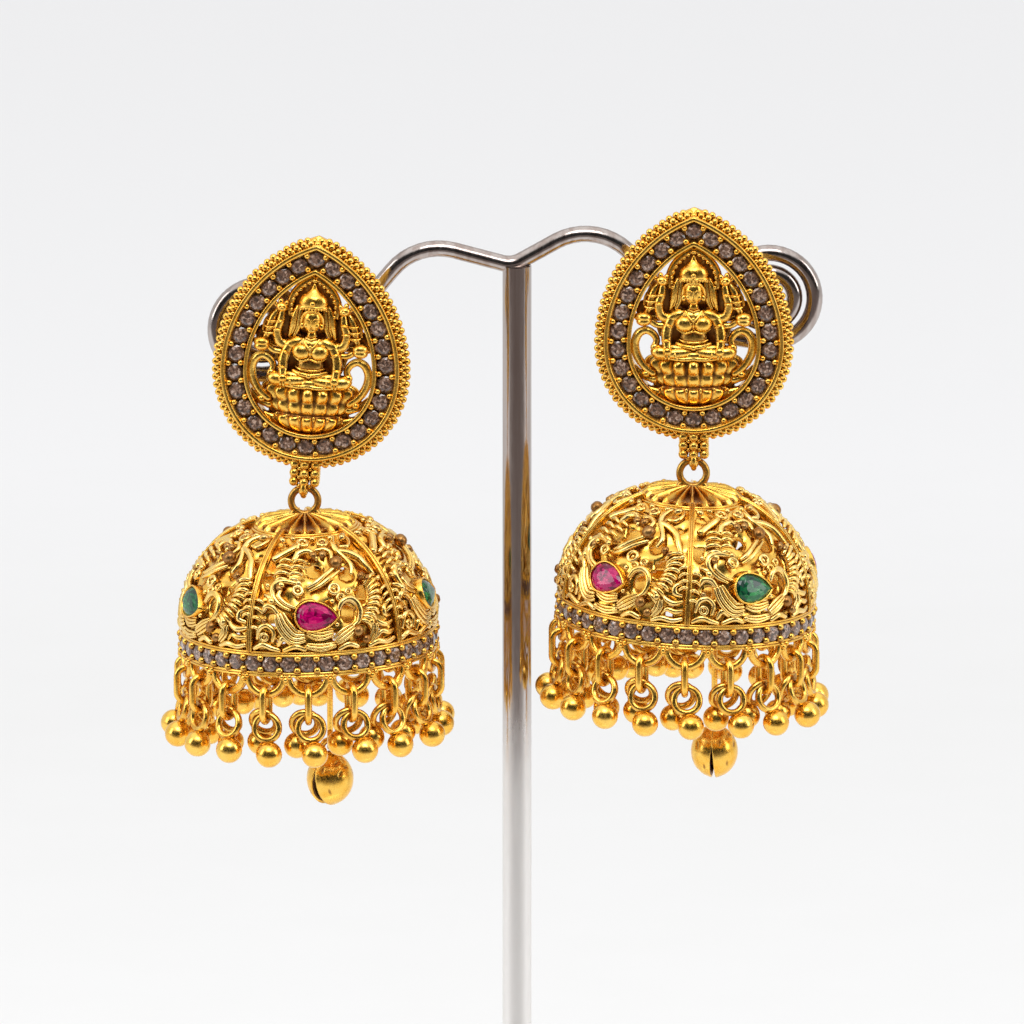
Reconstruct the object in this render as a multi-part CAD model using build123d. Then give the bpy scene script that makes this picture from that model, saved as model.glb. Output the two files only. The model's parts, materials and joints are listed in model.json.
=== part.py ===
from build123d import *
import os
from math import asin, atan, atan2, cos, degrees, radians, sin, sqrt, tan

# A pair of jhumka earrings on a wire display stand. Millimetres, +Z up, front towards -Y.
# The origin is the centre of the stand's underside. Left and right are the viewer's.

# Stand
base_radius = 38.0
base_thickness = 4.0
base_edge = 1.0
socket_radius = 2.6
socket_height = 3.0
post_radius = 1.45
post_fit = 0.1
post_foot = 2.0            # the post's lower end, inside the base
wire_radius = 0.825
wire_low = 119.9           # the wire's centre line where it dips onto the post
dip_x = -0.5
dip_bend = 2.5
crest_bend = 6.0
rest_bend = 3.0
left_rest_slope, right_rest_slope = 36.0, 31.0      # degrees, under the ear posts
left_crest = (-10.0, 2.55)     # corner of the bend over the crest: x, height above wire_low
right_crest = (8.3, 4.95)
coil_radius = 4.6          # centre line of a coil's outer turn
coil_step = 1.0            # what each half turn loses in radius
coil_half_turns = 4
left_coil = (-25.5, -6.55)     # centre of the coil: x, height above wire_low
right_coil = (25.1, -3.3)

# Where each earring hangs: the point where its drop swings, and how it sits
pivot_y = -3.6
left_pivot = (-21.25, pivot_y, 97.99)
right_pivot = (17.65, pivot_y, 100.82)
left_roll, left_yaw = 3.3, -7.0
right_roll, right_yaw = 0.0, -2.0
left_tilt, right_tilt = -1.5, 3.0

# Stud, in its own frame: the pivot is the origin
stud_radius = 8.78         # outer ridge line: the round lower end
stud_rise = 12.9           # from the centre of the round end to the tip
stud_centre = 11.9         # height of that centre over the pivot
stud_back = 1.1
ridge_height = 2.2
ridge_half = 0.16
channel_width = 2.3
channel_floor = 1.5
border_width = 1.05
border_low, border_high = 0.45, 1.75

# Tab and its loop under the stud
tab_width, tab_depth = 2.9, 1.5
tab_low, tab_high = 0.75, 2.7
loop_radius, loop_wire = 0.8, 0.3

# Ear post and nut
ear_post_height = 14.5
ear_post_radius = 0.45
ear_post_length = 8.6
ear_bar_inset = 0.6        # the crossbar that carries the post, in from the stud's back
nut_radius, nut_length = 2.4, 2.6
nut_bore = 0.6
nut_start = 5.0            # its near face, behind the pivot
wire_rest_gap = 0.55       # from the ear post to the corner; the bend takes up half of it

# Figure on its lotus, in the stud's frame
lotus_back = 1.6           # how far the lotus's axis lies behind the stud's back
lotus_profile = ((3.3, 5.5), (4.3, 7.3), (4.5, 8.8), (4.1, 9.9))     # radius, height
lap_radius, lap_half, lap_height = 0.75, 3.1, 10.5
face_forward = 0.4         # the head in front of the body, the halo as far behind it
waist_radius, chest_radius, bust_radius = 1.25, 1.75, 1.4
waist_height, shoulder_height = 10.6, 15.0
head_radius, head_height = 1.1, 17.35
crown_radius, crown_tip, crown_low, crown_high = 1.3, 0.2, 18.1, 20.9
arm_radius = 0.42
bud_radius = 0.7
bud_place = (5.1, 14.7)
hand_place = (3.1, 18.5)
shoulder_place = (1.6, 14.7)
elbow_place = (3.3, 15.0)
knee_place = (3.0, 11.0)
scroll_place = (5.0, 11.6)
scroll_radius, scroll_wire = 1.2, 0.36
halo_radius, halo_wire, halo_height = 2.1, 0.36, 19.4
halo_stalk, stalk_radius = 1.2, 0.4

# Dome, in its own frame: the pivot is the origin and the axis hangs straight down
ring_radius, ring_wire = 1.34, 0.36
ring_foot_radius, ring_foot_top, ring_foot_half = 1.8, 1.0, 0.3
cap_apex = -2.7
cap_radius, cap_edge = 5.1, -3.6
edge_wire = 0.3
bulge_radius = 10.8        # the dome's outer wall is an arc turned about the axis
bulge_offset = 1.784       # that arc's centre, out from the axis
bulge_level = -13.9
wall = 0.8
rib_width, rib_height = 0.65, 0.3
panels = 5
left_rib_angle, right_rib_angle = -26.6, 0.0
band_radius = 12.9
band_low = -16.5
rim_height = 0.5
channel_depth = 0.35
band_inner = 11.75
scallops = 18
scallop_line = 12.45       # the scallops' distance from the axis
scallop_radius, scallop_wire = 1.95, 0.36
scallop_rise = 0.1         # the scallops' centres above the band's lower edge
granule_radius = 0.52
hook_x = 2.4
hook_radius, hook_wire = 0.95, 0.35
hook_level = -4.7

# Gems and their bezels
gem_radius, gem_rise = 1.4, 2.6
gem_shift = -4.7           # degrees from the middle of its panel
gem_dip = 71.7             # degrees down the bulge's arc
gem_turn = -5.0
gem_low, gem_girdle, gem_top = -0.25, 0.4, 0.85
gem_gap = 0.07
table_inset = 0.45
bezel_wall = 0.25
bezel_low, bezel_top = -0.6, 0.6

# Pierced openings of one panel: degrees from its middle, degrees down the arc, radius
openings = (
    (-17, 31, 0.8),
    (9, 31, 0.8),
    (-21, 50, 1.1),
    (-2, 50, 1.2),
    (17, 50, 1.1),
    (-25, 73, 1.0),
    (18, 73, 1.2),
)

# Ball drops
link_wire = 0.36
link_half = 0.95
link_length = 3.5
drop_ring_radius, drop_ring_wire = 1.27, 0.35
ball_radius = 1.32
outer_swing, inner_swing = 15.0, -21.0     # degrees away from the dome's axis
side_swing = 13.0
sway = 4.0
link_seat = 0.04           # clearance over the scallop's wire
ring_bite = 0.08           # how far a ring's wire sinks into the link's bend
ring_stack = 0.3           # how far the inner ring rides above the outer one
ball_seat = 0.1            # the ball's top below the ring's centre line

# Bell and its link
bell_half_width, bell_half_height = 2.35, 2.65
bell_wall = 0.4
bell_slit = 0.4
bell_level = -29.85        # the bell's centre below the pivot
bell_slit_top = 0.8        # the slit's upper end, over the bell's centre
left_bell_turn, right_bell_turn = -50.0, -8.0
eye_radius, eye_wire = 0.8, 0.3
link_clearance = 0.12


def save(node, shape):
    """Write one piece, which must be one solid."""
    (solid,) = shape.solids()
    solid.label = node
    export_step(solid, f"parts/{node}.step")


def fuse(pieces):
    """Join a list of touching pieces."""
    return pieces[0].fuse(*pieces[1:])


def teardrop(radius, rise, offset=0.0):
    """A face in XY: a half circle below the origin and two tangent flank arcs that meet above it."""
    flank = rise / sin(2 * atan(radius / rise))
    side = flank - radius
    low, high = radius + offset, flank + offset
    tip = sqrt(high**2 - side**2)
    middle = atan2(tip, side) / 2
    x, y = high * cos(middle) - side, high * sin(middle)
    round_end = ThreePointArc((-low, 0), (0, -low), (low, 0))
    right = ThreePointArc((low, 0), (x, y), (0, tip))
    left = ThreePointArc((0, tip), (-x, y), (-low, 0))
    return make_face([round_end, right, left])


def rod(start, end, radius):
    """A round bar between two points."""
    axis = Vector(*end) - Vector(*start)
    plane = Plane(origin=start, z_dir=axis)
    return plane * Cylinder(radius, axis.length, align=(Align.CENTER, Align.CENTER, Align.MIN))


def cone(start, end, start_radius, end_radius):
    """A tapered bar between two points."""
    axis = Vector(*end) - Vector(*start)
    plane = Plane(origin=start, z_dir=axis)
    return plane * Cone(start_radius, end_radius, axis.length, align=(Align.CENTER, Align.CENTER, Align.MIN))


# ---- Stand ----

def stand_base():
    """A flat round foot with a short collar that holds the post."""
    foot = Pos(0, 0, base_thickness / 2) * Cylinder(base_radius, base_thickness)
    foot = chamfer(foot.faces().sort_by(Axis.Z)[-1].edges(), base_edge)
    collar_height = socket_height + base_thickness / 2
    collar = Pos(0, 0, base_thickness + socket_height - collar_height / 2) * Cylinder(
        socket_radius, collar_height
    )
    bore_height = base_thickness + socket_height
    bore = Pos(0, 0, post_foot - post_fit + bore_height / 2) * Cylinder(post_radius + post_fit, bore_height)
    return foot + collar - bore


def ear_post_place(pivot, roll, yaw):
    """Where a stud's ear post crosses the plane of the wire: x and height."""
    lean, turn = radians(roll), radians(yaw)
    x = pivot[0] + ear_post_height * sin(lean) * cos(turn) + pivot[1] * tan(turn)
    return x, pivot[2] + ear_post_height * cos(lean)


def wire_rest(pivot, roll, yaw, slope):
    """The wire's corner under an ear post, on a wire that slopes so many degrees there."""
    x, z = ear_post_place(pivot, roll, yaw)
    return x, z - (wire_radius + ear_post_radius + wire_rest_gap) / cos(radians(slope))


def coil_joint(corner, centre, side):
    """The point where the straight wire from a corner meets the coil's outer turn from below."""
    across, up = side * (centre[0] - corner[0]), centre[1] - corner[1]
    slope = asin(coil_radius / sqrt(across**2 + up**2)) - atan2(up, across)
    return centre[0] - side * coil_radius * sin(slope), centre[1] - coil_radius * cos(slope)


def coil_arcs(centre, joint, side):
    """A flat spiral of half circles, each a step smaller, from the joint round the outside and inwards."""
    arcs = []
    x, z, radius = centre[0], centre[1], coil_radius
    top = (x, z + radius)
    outside = (x + side * radius, z)
    arcs.append(ThreePointArc((joint[0], 0, joint[1]), (outside[0], 0, outside[1]), (top[0], 0, top[1])))
    level, turn_side, end = z, -1, top
    for _ in range(coil_half_turns - 1):
        radius -= coil_step
        level -= turn_side * coil_step
        middle = (x + side * turn_side * radius, level)
        stop = (x, level + turn_side * radius)
        arcs.append(ThreePointArc((end[0], 0, end[1]), (middle[0], 0, middle[1]), (stop[0], 0, stop[1])))
        turn_side, end = -turn_side, stop
    return arcs


def top_wire():
    """The bent wire: coil, rest under the left ear post, crest, dip on the post, crest, rest, coil."""
    left_rest = wire_rest(left_pivot, left_roll, left_yaw, left_rest_slope)
    right_rest = wire_rest(right_pivot, right_roll, right_yaw, right_rest_slope)
    left_centre = (left_coil[0], wire_low + left_coil[1])
    right_centre = (right_coil[0], wire_low + right_coil[1])
    left_joint = coil_joint(left_rest, left_centre, -1)
    right_joint = coil_joint(right_rest, right_centre, 1)
    corners = (
        left_joint,
        left_rest,
        (left_crest[0], wire_low + left_crest[1]),
        (dip_x, wire_low),
        (right_crest[0], wire_low + right_crest[1]),
        right_rest,
        right_joint,
    )
    bends = (rest_bend, crest_bend, dip_bend, crest_bend, rest_bend)
    arms = FilletPolyline(*[(x, 0, z) for x, z in corners], radius=bends)
    left_arcs = coil_arcs(left_centre, left_joint, -1)
    right_arcs = coil_arcs(right_centre, right_joint, 1)
    path = Wire(left_arcs[::-1] + list(arms.edges()) + right_arcs)
    start = path @ 0
    section = Plane(origin=start, z_dir=path % 0) * Circle(wire_radius)
    return sweep(section, path=path)


def stand_frame():
    """The upright post with the bent wire soldered on its top."""
    post_top = wire_low
    post = Pos(0, 0, (post_foot + post_top) / 2) * Cylinder(post_radius, post_top - post_foot)
    return fuse([post, top_wire()])


# ---- Stud ----

def stud_plane(height_over_back):
    """The plane of the stud's outline, so far in front of its back, facing the viewer."""
    return Plane(
        origin=(0, stud_back - height_over_back, stud_centre), x_dir=(1, 0, 0), z_dir=(0, -1, 0)
    )


def stud_ring(outer, inner, low, high):
    """A teardrop ring between two offsets from the outer ridge line and two heights over the back."""
    ring = teardrop(stud_radius, stud_rise, outer) - teardrop(stud_radius, stud_rise, inner)
    return extrude(stud_plane(low) * ring, amount=high - low)


def stud_frame():
    """The stone channel's floor, its two ridges and the granule border round them."""
    return [
        stud_ring(ridge_half, -channel_width - ridge_half, 0, channel_floor),
        stud_ring(ridge_half, -ridge_half, 0, ridge_height),
        stud_ring(-channel_width + ridge_half, -channel_width - ridge_half, 0, ridge_height),
        stud_ring(border_width, 0, border_low, border_high),
    ]


def lotus():
    """The lotus seat: a turned bowl, cut off at the stud's back."""
    profile = [(0, lotus_profile[0][1]), *lotus_profile, (0, lotus_profile[-1][1])]
    bowl = revolve(Plane.XZ * make_face(Polyline(*profile, close=True)), Axis.Z)
    bowl = Pos(0, stud_back + lotus_back, 0) * bowl
    reach = 2 * lotus_profile[-1][0]
    behind = Pos(0, stud_back + reach / 2, lotus_profile[1][1]) * Box(2 * reach, reach, reach)
    return bowl - behind


def figure():
    """A calm seated figure in plain rounded solids, four-armed, between two scrolls."""
    depth = stud_back - ridge_height / 2
    face, behind = depth - face_forward, depth + face_forward
    pieces = [
        rod((-lap_half, depth, lap_height), (lap_half, depth, lap_height), lap_radius),
        cone((0, depth, waist_height), (0, depth, shoulder_height), waist_radius, chest_radius),
        Pos(0, depth, shoulder_height) * Sphere(bust_radius),
        Pos(0, face, head_height) * Sphere(head_radius),
        cone((0, face, crown_low), (0, face, crown_high), crown_radius, crown_tip),
        Pos(0, behind, halo_height) * Rot(90, 0, 0) * Torus(halo_radius, halo_wire),
        rod((0, behind, head_height), (0, behind, halo_height + halo_radius + halo_stalk), stalk_radius),
    ]
    for side in (-1, 1):
        shoulder = (side * shoulder_place[0], depth, shoulder_place[1])
        elbow = (side * elbow_place[0], depth, elbow_place[1])
        hand = (side * hand_place[0], depth, hand_place[1])
        knee = (side * knee_place[0], depth, knee_place[1])
        bud = (side * bud_place[0], depth, bud_place[1])
        ridge = (side * (stud_radius - channel_width), depth, bud_place[1])
        pieces += [
            rod(shoulder, elbow, arm_radius),
            rod(elbow, hand, arm_radius),
            rod(shoulder, knee, arm_radius),
            rod(elbow, bud, arm_radius),
            rod(bud, ridge, arm_radius),
            Pos(*hand) * Sphere(bud_radius),
            Pos(*elbow) * Sphere(arm_radius),
            Pos(*bud) * Sphere(bud_radius),
            Pos(side * scroll_place[0], depth, scroll_place[1])
            * Rot(90, 0, 0)
            * Torus(scroll_radius, scroll_wire),
        ]
    return pieces


def tab():
    """The granulated tab under the stud and the loop that the dome's ring hangs in."""
    plate = Pos(0, 0, (tab_low + tab_high) / 2) * Box(tab_width, tab_depth, tab_high - tab_low)
    loop = Rot(0, 90, 0) * Torus(loop_radius, loop_wire)
    return [plate, loop]


def ear_post():
    """The plain post behind the stud, on a crossbar between the ridges that carries it."""
    reach = stud_radius - channel_width
    depth = stud_back - ear_bar_inset
    bar = rod((-reach, depth, ear_post_height), (reach, depth, ear_post_height), ear_post_radius)
    post = rod((0, depth, ear_post_height), (0, ear_post_length, ear_post_height), ear_post_radius)
    return [bar, post]


def stud():
    """One stud, in its own frame."""
    return fuse(stud_frame() + [lotus()] + figure() + tab() + ear_post())


def ear_nut():
    """A plain round nut, a loose fit on the ear post."""
    at = (0, nut_start, ear_post_height)
    end = (0, nut_start + nut_length, ear_post_height)
    bore_end = (0, nut_start + 2 * nut_length, ear_post_height)
    return cone(at, end, nut_radius, nut_radius / 2) - rod((0, 0, ear_post_height), bore_end, nut_bore)


def stud_location(pivot, roll, yaw):
    """Moves a stud from its own frame to its place on the stand."""
    return Pos(*pivot) * Rot(0, 0, yaw) * Rot(0, roll, 0)


# ---- Dome ----

def bulge_point(dip, out=0.0):
    """Radius and height of a point so many degrees down the bulge's arc, and so far outside it."""
    reach = bulge_radius + out
    return bulge_offset + reach * sin(radians(dip)), bulge_level + reach * cos(radians(dip))


def cap_dip():
    """The angle down the arc at which the cap's edge lies."""
    return degrees(asin((cap_radius - bulge_offset) / bulge_radius))


def dome_shell():
    """Cap, bulging wall and stone band, turned in one."""
    dip = cap_dip()
    outer_arc = ThreePointArc(bulge_point(dip), bulge_point((dip + 90) / 2), bulge_point(90))
    inner_top, inner_side = bulge_point(dip, -wall), bulge_point(90, -wall)
    inner_arc = ThreePointArc(inner_side, bulge_point((dip + 90) / 2, -wall), inner_top)
    floor_radius = band_radius - channel_depth
    rim_low, rim_high = band_low + rim_height, bulge_level - rim_height
    cap_line = Polyline((0, cap_apex - wall), (0, cap_apex), outer_arc @ 0)
    band_line = Polyline(
        outer_arc @ 1,
        (band_radius, bulge_level),
        (band_radius, rim_high),
        (floor_radius, rim_high),
        (floor_radius, rim_low),
        (band_radius, rim_low),
        (band_radius, band_low),
        (band_inner, band_low),
        inner_arc @ 0,
    )
    closing = Line(inner_arc @ 1, (0, cap_apex - wall))
    return revolve(Plane.XZ * make_face([cap_line, outer_arc, band_line, inner_arc, closing]), Axis.Z)


def rib(angle):
    """A raised strip down the wall, from the cap's edge to the band, at an angle from the front."""
    dip = cap_dip()
    outside, inside = rib_height, -wall / 2
    outer = ThreePointArc(
        bulge_point(dip, outside), bulge_point((dip + 90) / 2, outside), bulge_point(90, outside)
    )
    inner = ThreePointArc(
        bulge_point(90, inside), bulge_point((dip + 90) / 2, inside), bulge_point(dip, inside)
    )
    face = make_face([outer, Line(outer @ 1, inner @ 0), inner, Line(inner @ 1, outer @ 0)])
    strip = extrude(Plane.XZ * face, amount=rib_width / 2, both=True)
    return Rot(0, 0, angle - 90) * strip


def scallop(angle):
    """A hanging loop of wire under the band, and the granule at its left end."""
    ring = Rot(90, 0, 0) * Torus(scallop_radius, scallop_wire)
    keep = Pos(0, 0, -scallop_radius) * Box(4 * scallop_radius, 2, 2 * scallop_radius)
    loop = Pos(0, -scallop_line, band_low + scallop_rise) * (ring & keep)
    half_step = 180 / scallops
    granule = Rot(0, 0, -half_step) * Pos(0, -scallop_line, band_low - scallop_rise) * Sphere(granule_radius)
    return [Rot(0, 0, angle) * loop, Rot(0, 0, angle) * granule]


def wall_plane(angle, dip, out=0.0):
    """A plane on the dome's wall facing outwards, with its own y running round to the right."""
    radius, z = bulge_point(dip, out)
    turn = radians(angle)
    origin = (radius * sin(turn), -radius * cos(turn), z)
    normal = Vector(sin(radians(dip)) * sin(turn), -sin(radians(dip)) * cos(turn), cos(radians(dip)))
    along = Vector(cos(turn), sin(turn), 0)
    return Plane(origin=origin, x_dir=along.cross(normal), z_dir=normal)


def gem_plane(panel_angle, height):
    """The plane of a gem's outline, so far above the wall, with the tip to the right."""
    middle = (gem_rise - gem_radius) / 2
    plane = wall_plane(panel_angle + gem_shift, gem_dip, height)
    return plane * Rot(0, 0, gem_turn) * Pos(0, -middle, 0)


def gem(panel_angle):
    """A pear-cut stone: a straight girdle under a tapered crown."""
    outline = teardrop(gem_radius, gem_rise)
    table = teardrop(gem_radius, gem_rise, -table_inset)
    place = gem_plane(panel_angle, 0)
    body = place * extrude(Pos(0, 0, gem_low) * outline, amount=gem_girdle - gem_low)
    crown = place * loft([Pos(0, 0, gem_girdle) * outline, Pos(0, 0, gem_top) * table])
    return fuse([body, crown])


def bezel(panel_angle):
    """The thin wall that holds a gem."""
    outline = teardrop(gem_radius, gem_rise, gem_gap + bezel_wall)
    return gem_plane(panel_angle, 0) * extrude(Pos(0, 0, bezel_low) * outline, amount=bezel_top - bezel_low)


def pocket(panel_angle):
    """The gem's seat, open to the outside."""
    outline = teardrop(gem_radius, gem_rise, gem_gap)
    low = gem_low - gem_gap
    return gem_plane(panel_angle, 0) * extrude(Pos(0, 0, low) * outline, amount=2 * bezel_top - low)


def pierced(panel_angle):
    """The openings through one panel."""
    holes = []
    for across, dip, radius in openings:
        holes.append(wall_plane(panel_angle + across, dip) * Cylinder(radius, 4 * wall))
    return holes


def panel_angles(rib_angle):
    """The middle of each panel, in degrees from the front."""
    step = 360 / panels
    return [rib_angle + step * (i + 0.5) for i in range(panels)]


def dome(rib_angle):
    """One dome, in its own frame, hanging straight."""
    hanging_ring = Pos(0, 0, -ring_radius) * Rot(90, 0, 0) * Torus(ring_radius, ring_wire)
    foot_low, foot_high = cap_apex - ring_foot_half, cap_apex + ring_foot_half
    foot = cone((0, 0, foot_low), (0, 0, foot_high), ring_foot_radius, ring_foot_top)
    edge = Pos(0, 0, cap_edge) * Torus(cap_radius, edge_wire)
    hook = Pos(hook_x, 0, hook_level) * Rot(90, 0, 0) * Torus(hook_radius, hook_wire)
    pieces = [dome_shell(), hanging_ring, foot, edge, hook]
    pieces += [rib(rib_angle + i * 360 / panels) for i in range(panels)]
    pieces += [bezel(angle) for angle in panel_angles(rib_angle)]
    for i in range(scallops):
        pieces += scallop(i * 360 / scallops)
    body = fuse(pieces)
    cuts = [pocket(angle) for angle in panel_angles(rib_angle)]
    for angle in panel_angles(rib_angle):
        cuts += pierced(angle)
    return body.cut(*cuts)


# ---- Ball drops ----

def long_link():
    """The long oval link, edge on to the dome's outside, from its top bend down."""
    straight = link_length - 2 * link_half
    middle = scallop_wire + link_wire + link_seat - link_length / 2
    outline = Plane.YZ * SlotCenterToCenter(straight, 2 * link_half, rotation=90)
    path = outline.face().outer_wire()
    section = Plane(origin=path @ 0, z_dir=path % 0) * Circle(link_wire)
    return Pos(0, 0, middle) * sweep(section, path=path)


def ringed_ball(out_swing, along_swing, lift):
    """A ring with a ball soldered under it, swung about the bend of the long link."""
    link_low = scallop_wire + link_wire + link_seat - link_length
    ring = Pos(0, 0, -drop_ring_radius) * Rot(90, 0, 0) * Torus(drop_ring_radius, drop_ring_wire)
    ball_level = -2 * drop_ring_radius - ball_radius - ball_seat
    ball = Pos(0, 0, ball_level) * Sphere(ball_radius)
    at = Pos(0, 0, link_low + link_wire + drop_ring_wire - ring_bite + lift)
    return [at * Rot(-out_swing, along_swing, 0) * piece for piece in (ring, ball)]


def ball_drop(i):
    """One drop of the fringe in its own frame: the scallop's lowest wire is the origin, outwards is -Y."""
    wave = sin(2.4 * i + 0.9)
    other = cos(3.7 * i)
    pieces = [long_link()]
    pieces += ringed_ball(outer_swing + sway * wave, -side_swing + sway * other, 0)
    pieces += ringed_ball(inner_swing + sway * wave, side_swing + sway * other, ring_stack)
    return fuse(pieces)


def ball_drop_location(pivot, tilt, i):
    """Hangs a drop straight down from the lowest point of its scallop on a tilted dome."""
    turn = radians(i * 360 / scallops)
    low = band_low + scallop_rise - scallop_radius
    start = Vector(scallop_line * sin(turn), -scallop_line * cos(turn), low).rotate(Axis.Y, tilt)
    return Pos(*pivot) * Pos(start) * Rot(0, 0, i * 360 / scallops)


# ---- Bell ----

def hook_eye(tilt):
    """The middle of the hook's lower wire on a tilted dome, from the pivot."""
    return Vector(hook_x, 0, hook_level - hook_radius).rotate(Axis.Y, tilt)


def bell_link_rings(tilt):
    """The middles of the link's two eyes, from the pivot: one in the hook, one in the bell's loop."""
    top = hook_eye(tilt) + Vector(0, 0, hook_wire + eye_wire + link_clearance - eye_radius)
    bell_top = bell_level + bell_half_height
    loop = Vector(top.X, 0, bell_top + eye_radius - eye_wire)
    low = loop + Vector(0, 0, eye_radius * 2 - eye_wire * 2 - link_clearance)
    return top, low, loop


def bell_link(tilt):
    """A straight wire with an eye at each end."""
    top, low, _ = bell_link_rings(tilt)
    eye = Rot(0, 90, 0) * Torus(eye_radius, eye_wire)
    shaft = rod(top - Vector(0, 0, eye_radius), low + Vector(0, 0, eye_radius), eye_wire)
    return fuse([Pos(top) * eye, Pos(low) * eye, shaft])


def bell(tilt, turn):
    """A hollow round bell with a slit across its lower part and a loop on top."""
    _, _, loop_at = bell_link_rings(tilt)

    def turned(inset):
        width, height = bell_half_width - inset, bell_half_height - inset
        arc = EllipticalCenterArc((0, 0), width, height, start_angle=-90, arc_size=180)
        return revolve(Plane.XZ * make_face([arc, Line(arc @ 1, arc @ 0)]), Axis.Z)

    cut = Box(bell_slit, 3 * bell_half_width, 2 * bell_half_height)
    slit = Pos(0, 0, bell_slit_top - bell_half_height) * Rot(0, 0, turn) * cut
    hollow = turned(0) - turned(bell_wall) - slit
    hollow = Pos(loop_at.X, 0, bell_level) * hollow
    loop = Pos(loop_at) * Rot(90, 0, 0) * Torus(eye_radius, eye_wire)
    return fuse([hollow, loop])


# ---- Writing ----

def write_earring(side, pivot, roll, yaw, tilt, rib_angle, bell_turn):
    """Write all the pieces of one earring at their places."""
    at = stud_location(pivot, roll, yaw)
    save(f"{side}_stud", at * stud())
    save(f"{side}_ear_nut", at * ear_nut())
    hang = Pos(*pivot) * Rot(0, tilt, 0)
    save(f"{side}_dome", hang * dome(rib_angle))
    for number, angle in enumerate(panel_angles(rib_angle), start=1):
        save(f"{side}_gem_{number}", hang * gem(angle))
    for i in range(scallops):
        save(f"{side}_ball_drop_{i + 1}", ball_drop_location(pivot, tilt, i) * ball_drop(i))
    save(f"{side}_bell_link", Pos(*pivot) * bell_link(tilt))
    save(f"{side}_bell", Pos(*pivot) * bell(tilt, bell_turn))


os.makedirs("parts", exist_ok=True)
save("stand_base", stand_base())
save("stand_frame", stand_frame())
write_earring("left", left_pivot, left_roll, left_yaw, left_tilt, left_rib_angle, left_bell_turn)
write_earring("right", right_pivot, right_roll, right_yaw, right_tilt, right_rib_angle, right_bell_turn)
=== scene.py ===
import json
from math import asin, atan, atan2, cos, pi, radians, sin, sqrt

import bpy
import numpy as np
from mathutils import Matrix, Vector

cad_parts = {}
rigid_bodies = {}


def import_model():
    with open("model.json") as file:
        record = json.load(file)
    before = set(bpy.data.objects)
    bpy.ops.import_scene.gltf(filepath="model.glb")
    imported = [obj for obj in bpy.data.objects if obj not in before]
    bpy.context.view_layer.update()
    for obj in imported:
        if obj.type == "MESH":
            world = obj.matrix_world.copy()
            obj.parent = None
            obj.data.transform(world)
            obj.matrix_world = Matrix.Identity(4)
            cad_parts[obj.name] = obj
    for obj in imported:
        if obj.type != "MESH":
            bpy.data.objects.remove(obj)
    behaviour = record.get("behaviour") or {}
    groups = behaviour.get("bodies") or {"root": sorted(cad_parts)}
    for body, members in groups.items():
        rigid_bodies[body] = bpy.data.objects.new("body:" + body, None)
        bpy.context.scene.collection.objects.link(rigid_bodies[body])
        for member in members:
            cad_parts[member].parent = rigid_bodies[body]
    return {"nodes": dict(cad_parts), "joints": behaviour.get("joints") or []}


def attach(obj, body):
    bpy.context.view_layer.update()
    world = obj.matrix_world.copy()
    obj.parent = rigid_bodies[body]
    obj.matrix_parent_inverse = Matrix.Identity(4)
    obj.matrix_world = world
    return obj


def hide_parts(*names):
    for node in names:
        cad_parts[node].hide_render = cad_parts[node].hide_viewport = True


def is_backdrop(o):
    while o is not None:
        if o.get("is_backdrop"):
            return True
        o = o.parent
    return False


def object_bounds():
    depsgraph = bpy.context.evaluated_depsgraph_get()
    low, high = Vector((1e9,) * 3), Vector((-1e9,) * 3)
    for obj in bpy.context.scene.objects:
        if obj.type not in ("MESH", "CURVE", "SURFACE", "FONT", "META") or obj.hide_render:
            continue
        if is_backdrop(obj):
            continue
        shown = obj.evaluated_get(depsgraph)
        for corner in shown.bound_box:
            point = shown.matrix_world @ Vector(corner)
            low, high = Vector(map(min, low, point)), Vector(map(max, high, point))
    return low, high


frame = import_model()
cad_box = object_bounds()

bl_info = {
    "name": "Jhumka earrings",
    "version": (1, 0, 0),
    "blender": (4, 5, 0),
    "location": "View3D > Sidebar > Jhumka",
    "description": "Builds the looks of a pair of jhumka earrings on their wire stand",
    "category": "Object",
}

# All sizes below are millimetres, +Z up, front towards -Y. Meshes are written in metres. Ages and
# patina, with the painted shade that they carry, run from 0, worn bright, to 1, dark.
MM = 0.001
SEED = 7


# ---- Sizes that the ornament is laid out on ----

# Stud: a teardrop's radius, how far its tip is over its centre, and the centre over the pivot
STUD_RADIUS, STUD_RISE, STUD_CENTRE = 8.78, 12.9, 11.9
STUD_BACK = 1.1
RIDGE_HEIGHT, RIDGE_HALF = 2.2, 0.2
CHANNEL_WIDTH, CHANNEL_FLOOR = 2.3, 1.35
STUD_STONES = 28
STONE_LINE = -1.15

# Dome: the wall is an arc whose centre is off the axis. Levels are from the pivot.
BULGE_RADIUS, BULGE_OFFSET, BULGE_LEVEL = 10.8, 1.784, -13.9
CAP_APEX, CAP_EDGE, CAP_RADIUS = -2.7, -3.6, 5.1
CAP_WIRES = 20
PANELS = 5
BAND_RADIUS, BAND_TOP, BAND_LOW, BAND_INNER = 12.9, -13.9, -16.5, 11.75
BAND_STONES = 42
SCALLOPS, SCALLOP_LINE = 18, 12.45
SCALLOP_RADIUS, SCALLOP_WIRE, SCALLOP_LEVEL = 1.95, 0.34, -16.4
# Gems: a teardrop's radius and the rise of its tip, then degrees off the panel's middle, degrees
# down from the top, the turn, and the slide along its length
GEM_RADIUS, GEM_RISE = 1.4, 2.6
GEM_SHIFT, GEM_DIP, GEM_TURN, GEM_SLIDE = -4.7, 71.7, -5.0, -0.6
# Bell: the hook under the cap and the link's eyes
HOOK_ACROSS, HOOK_LEVEL, HOOK_RADIUS = 2.4, -4.7, 0.95
EYE_RADIUS = 0.8


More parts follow.
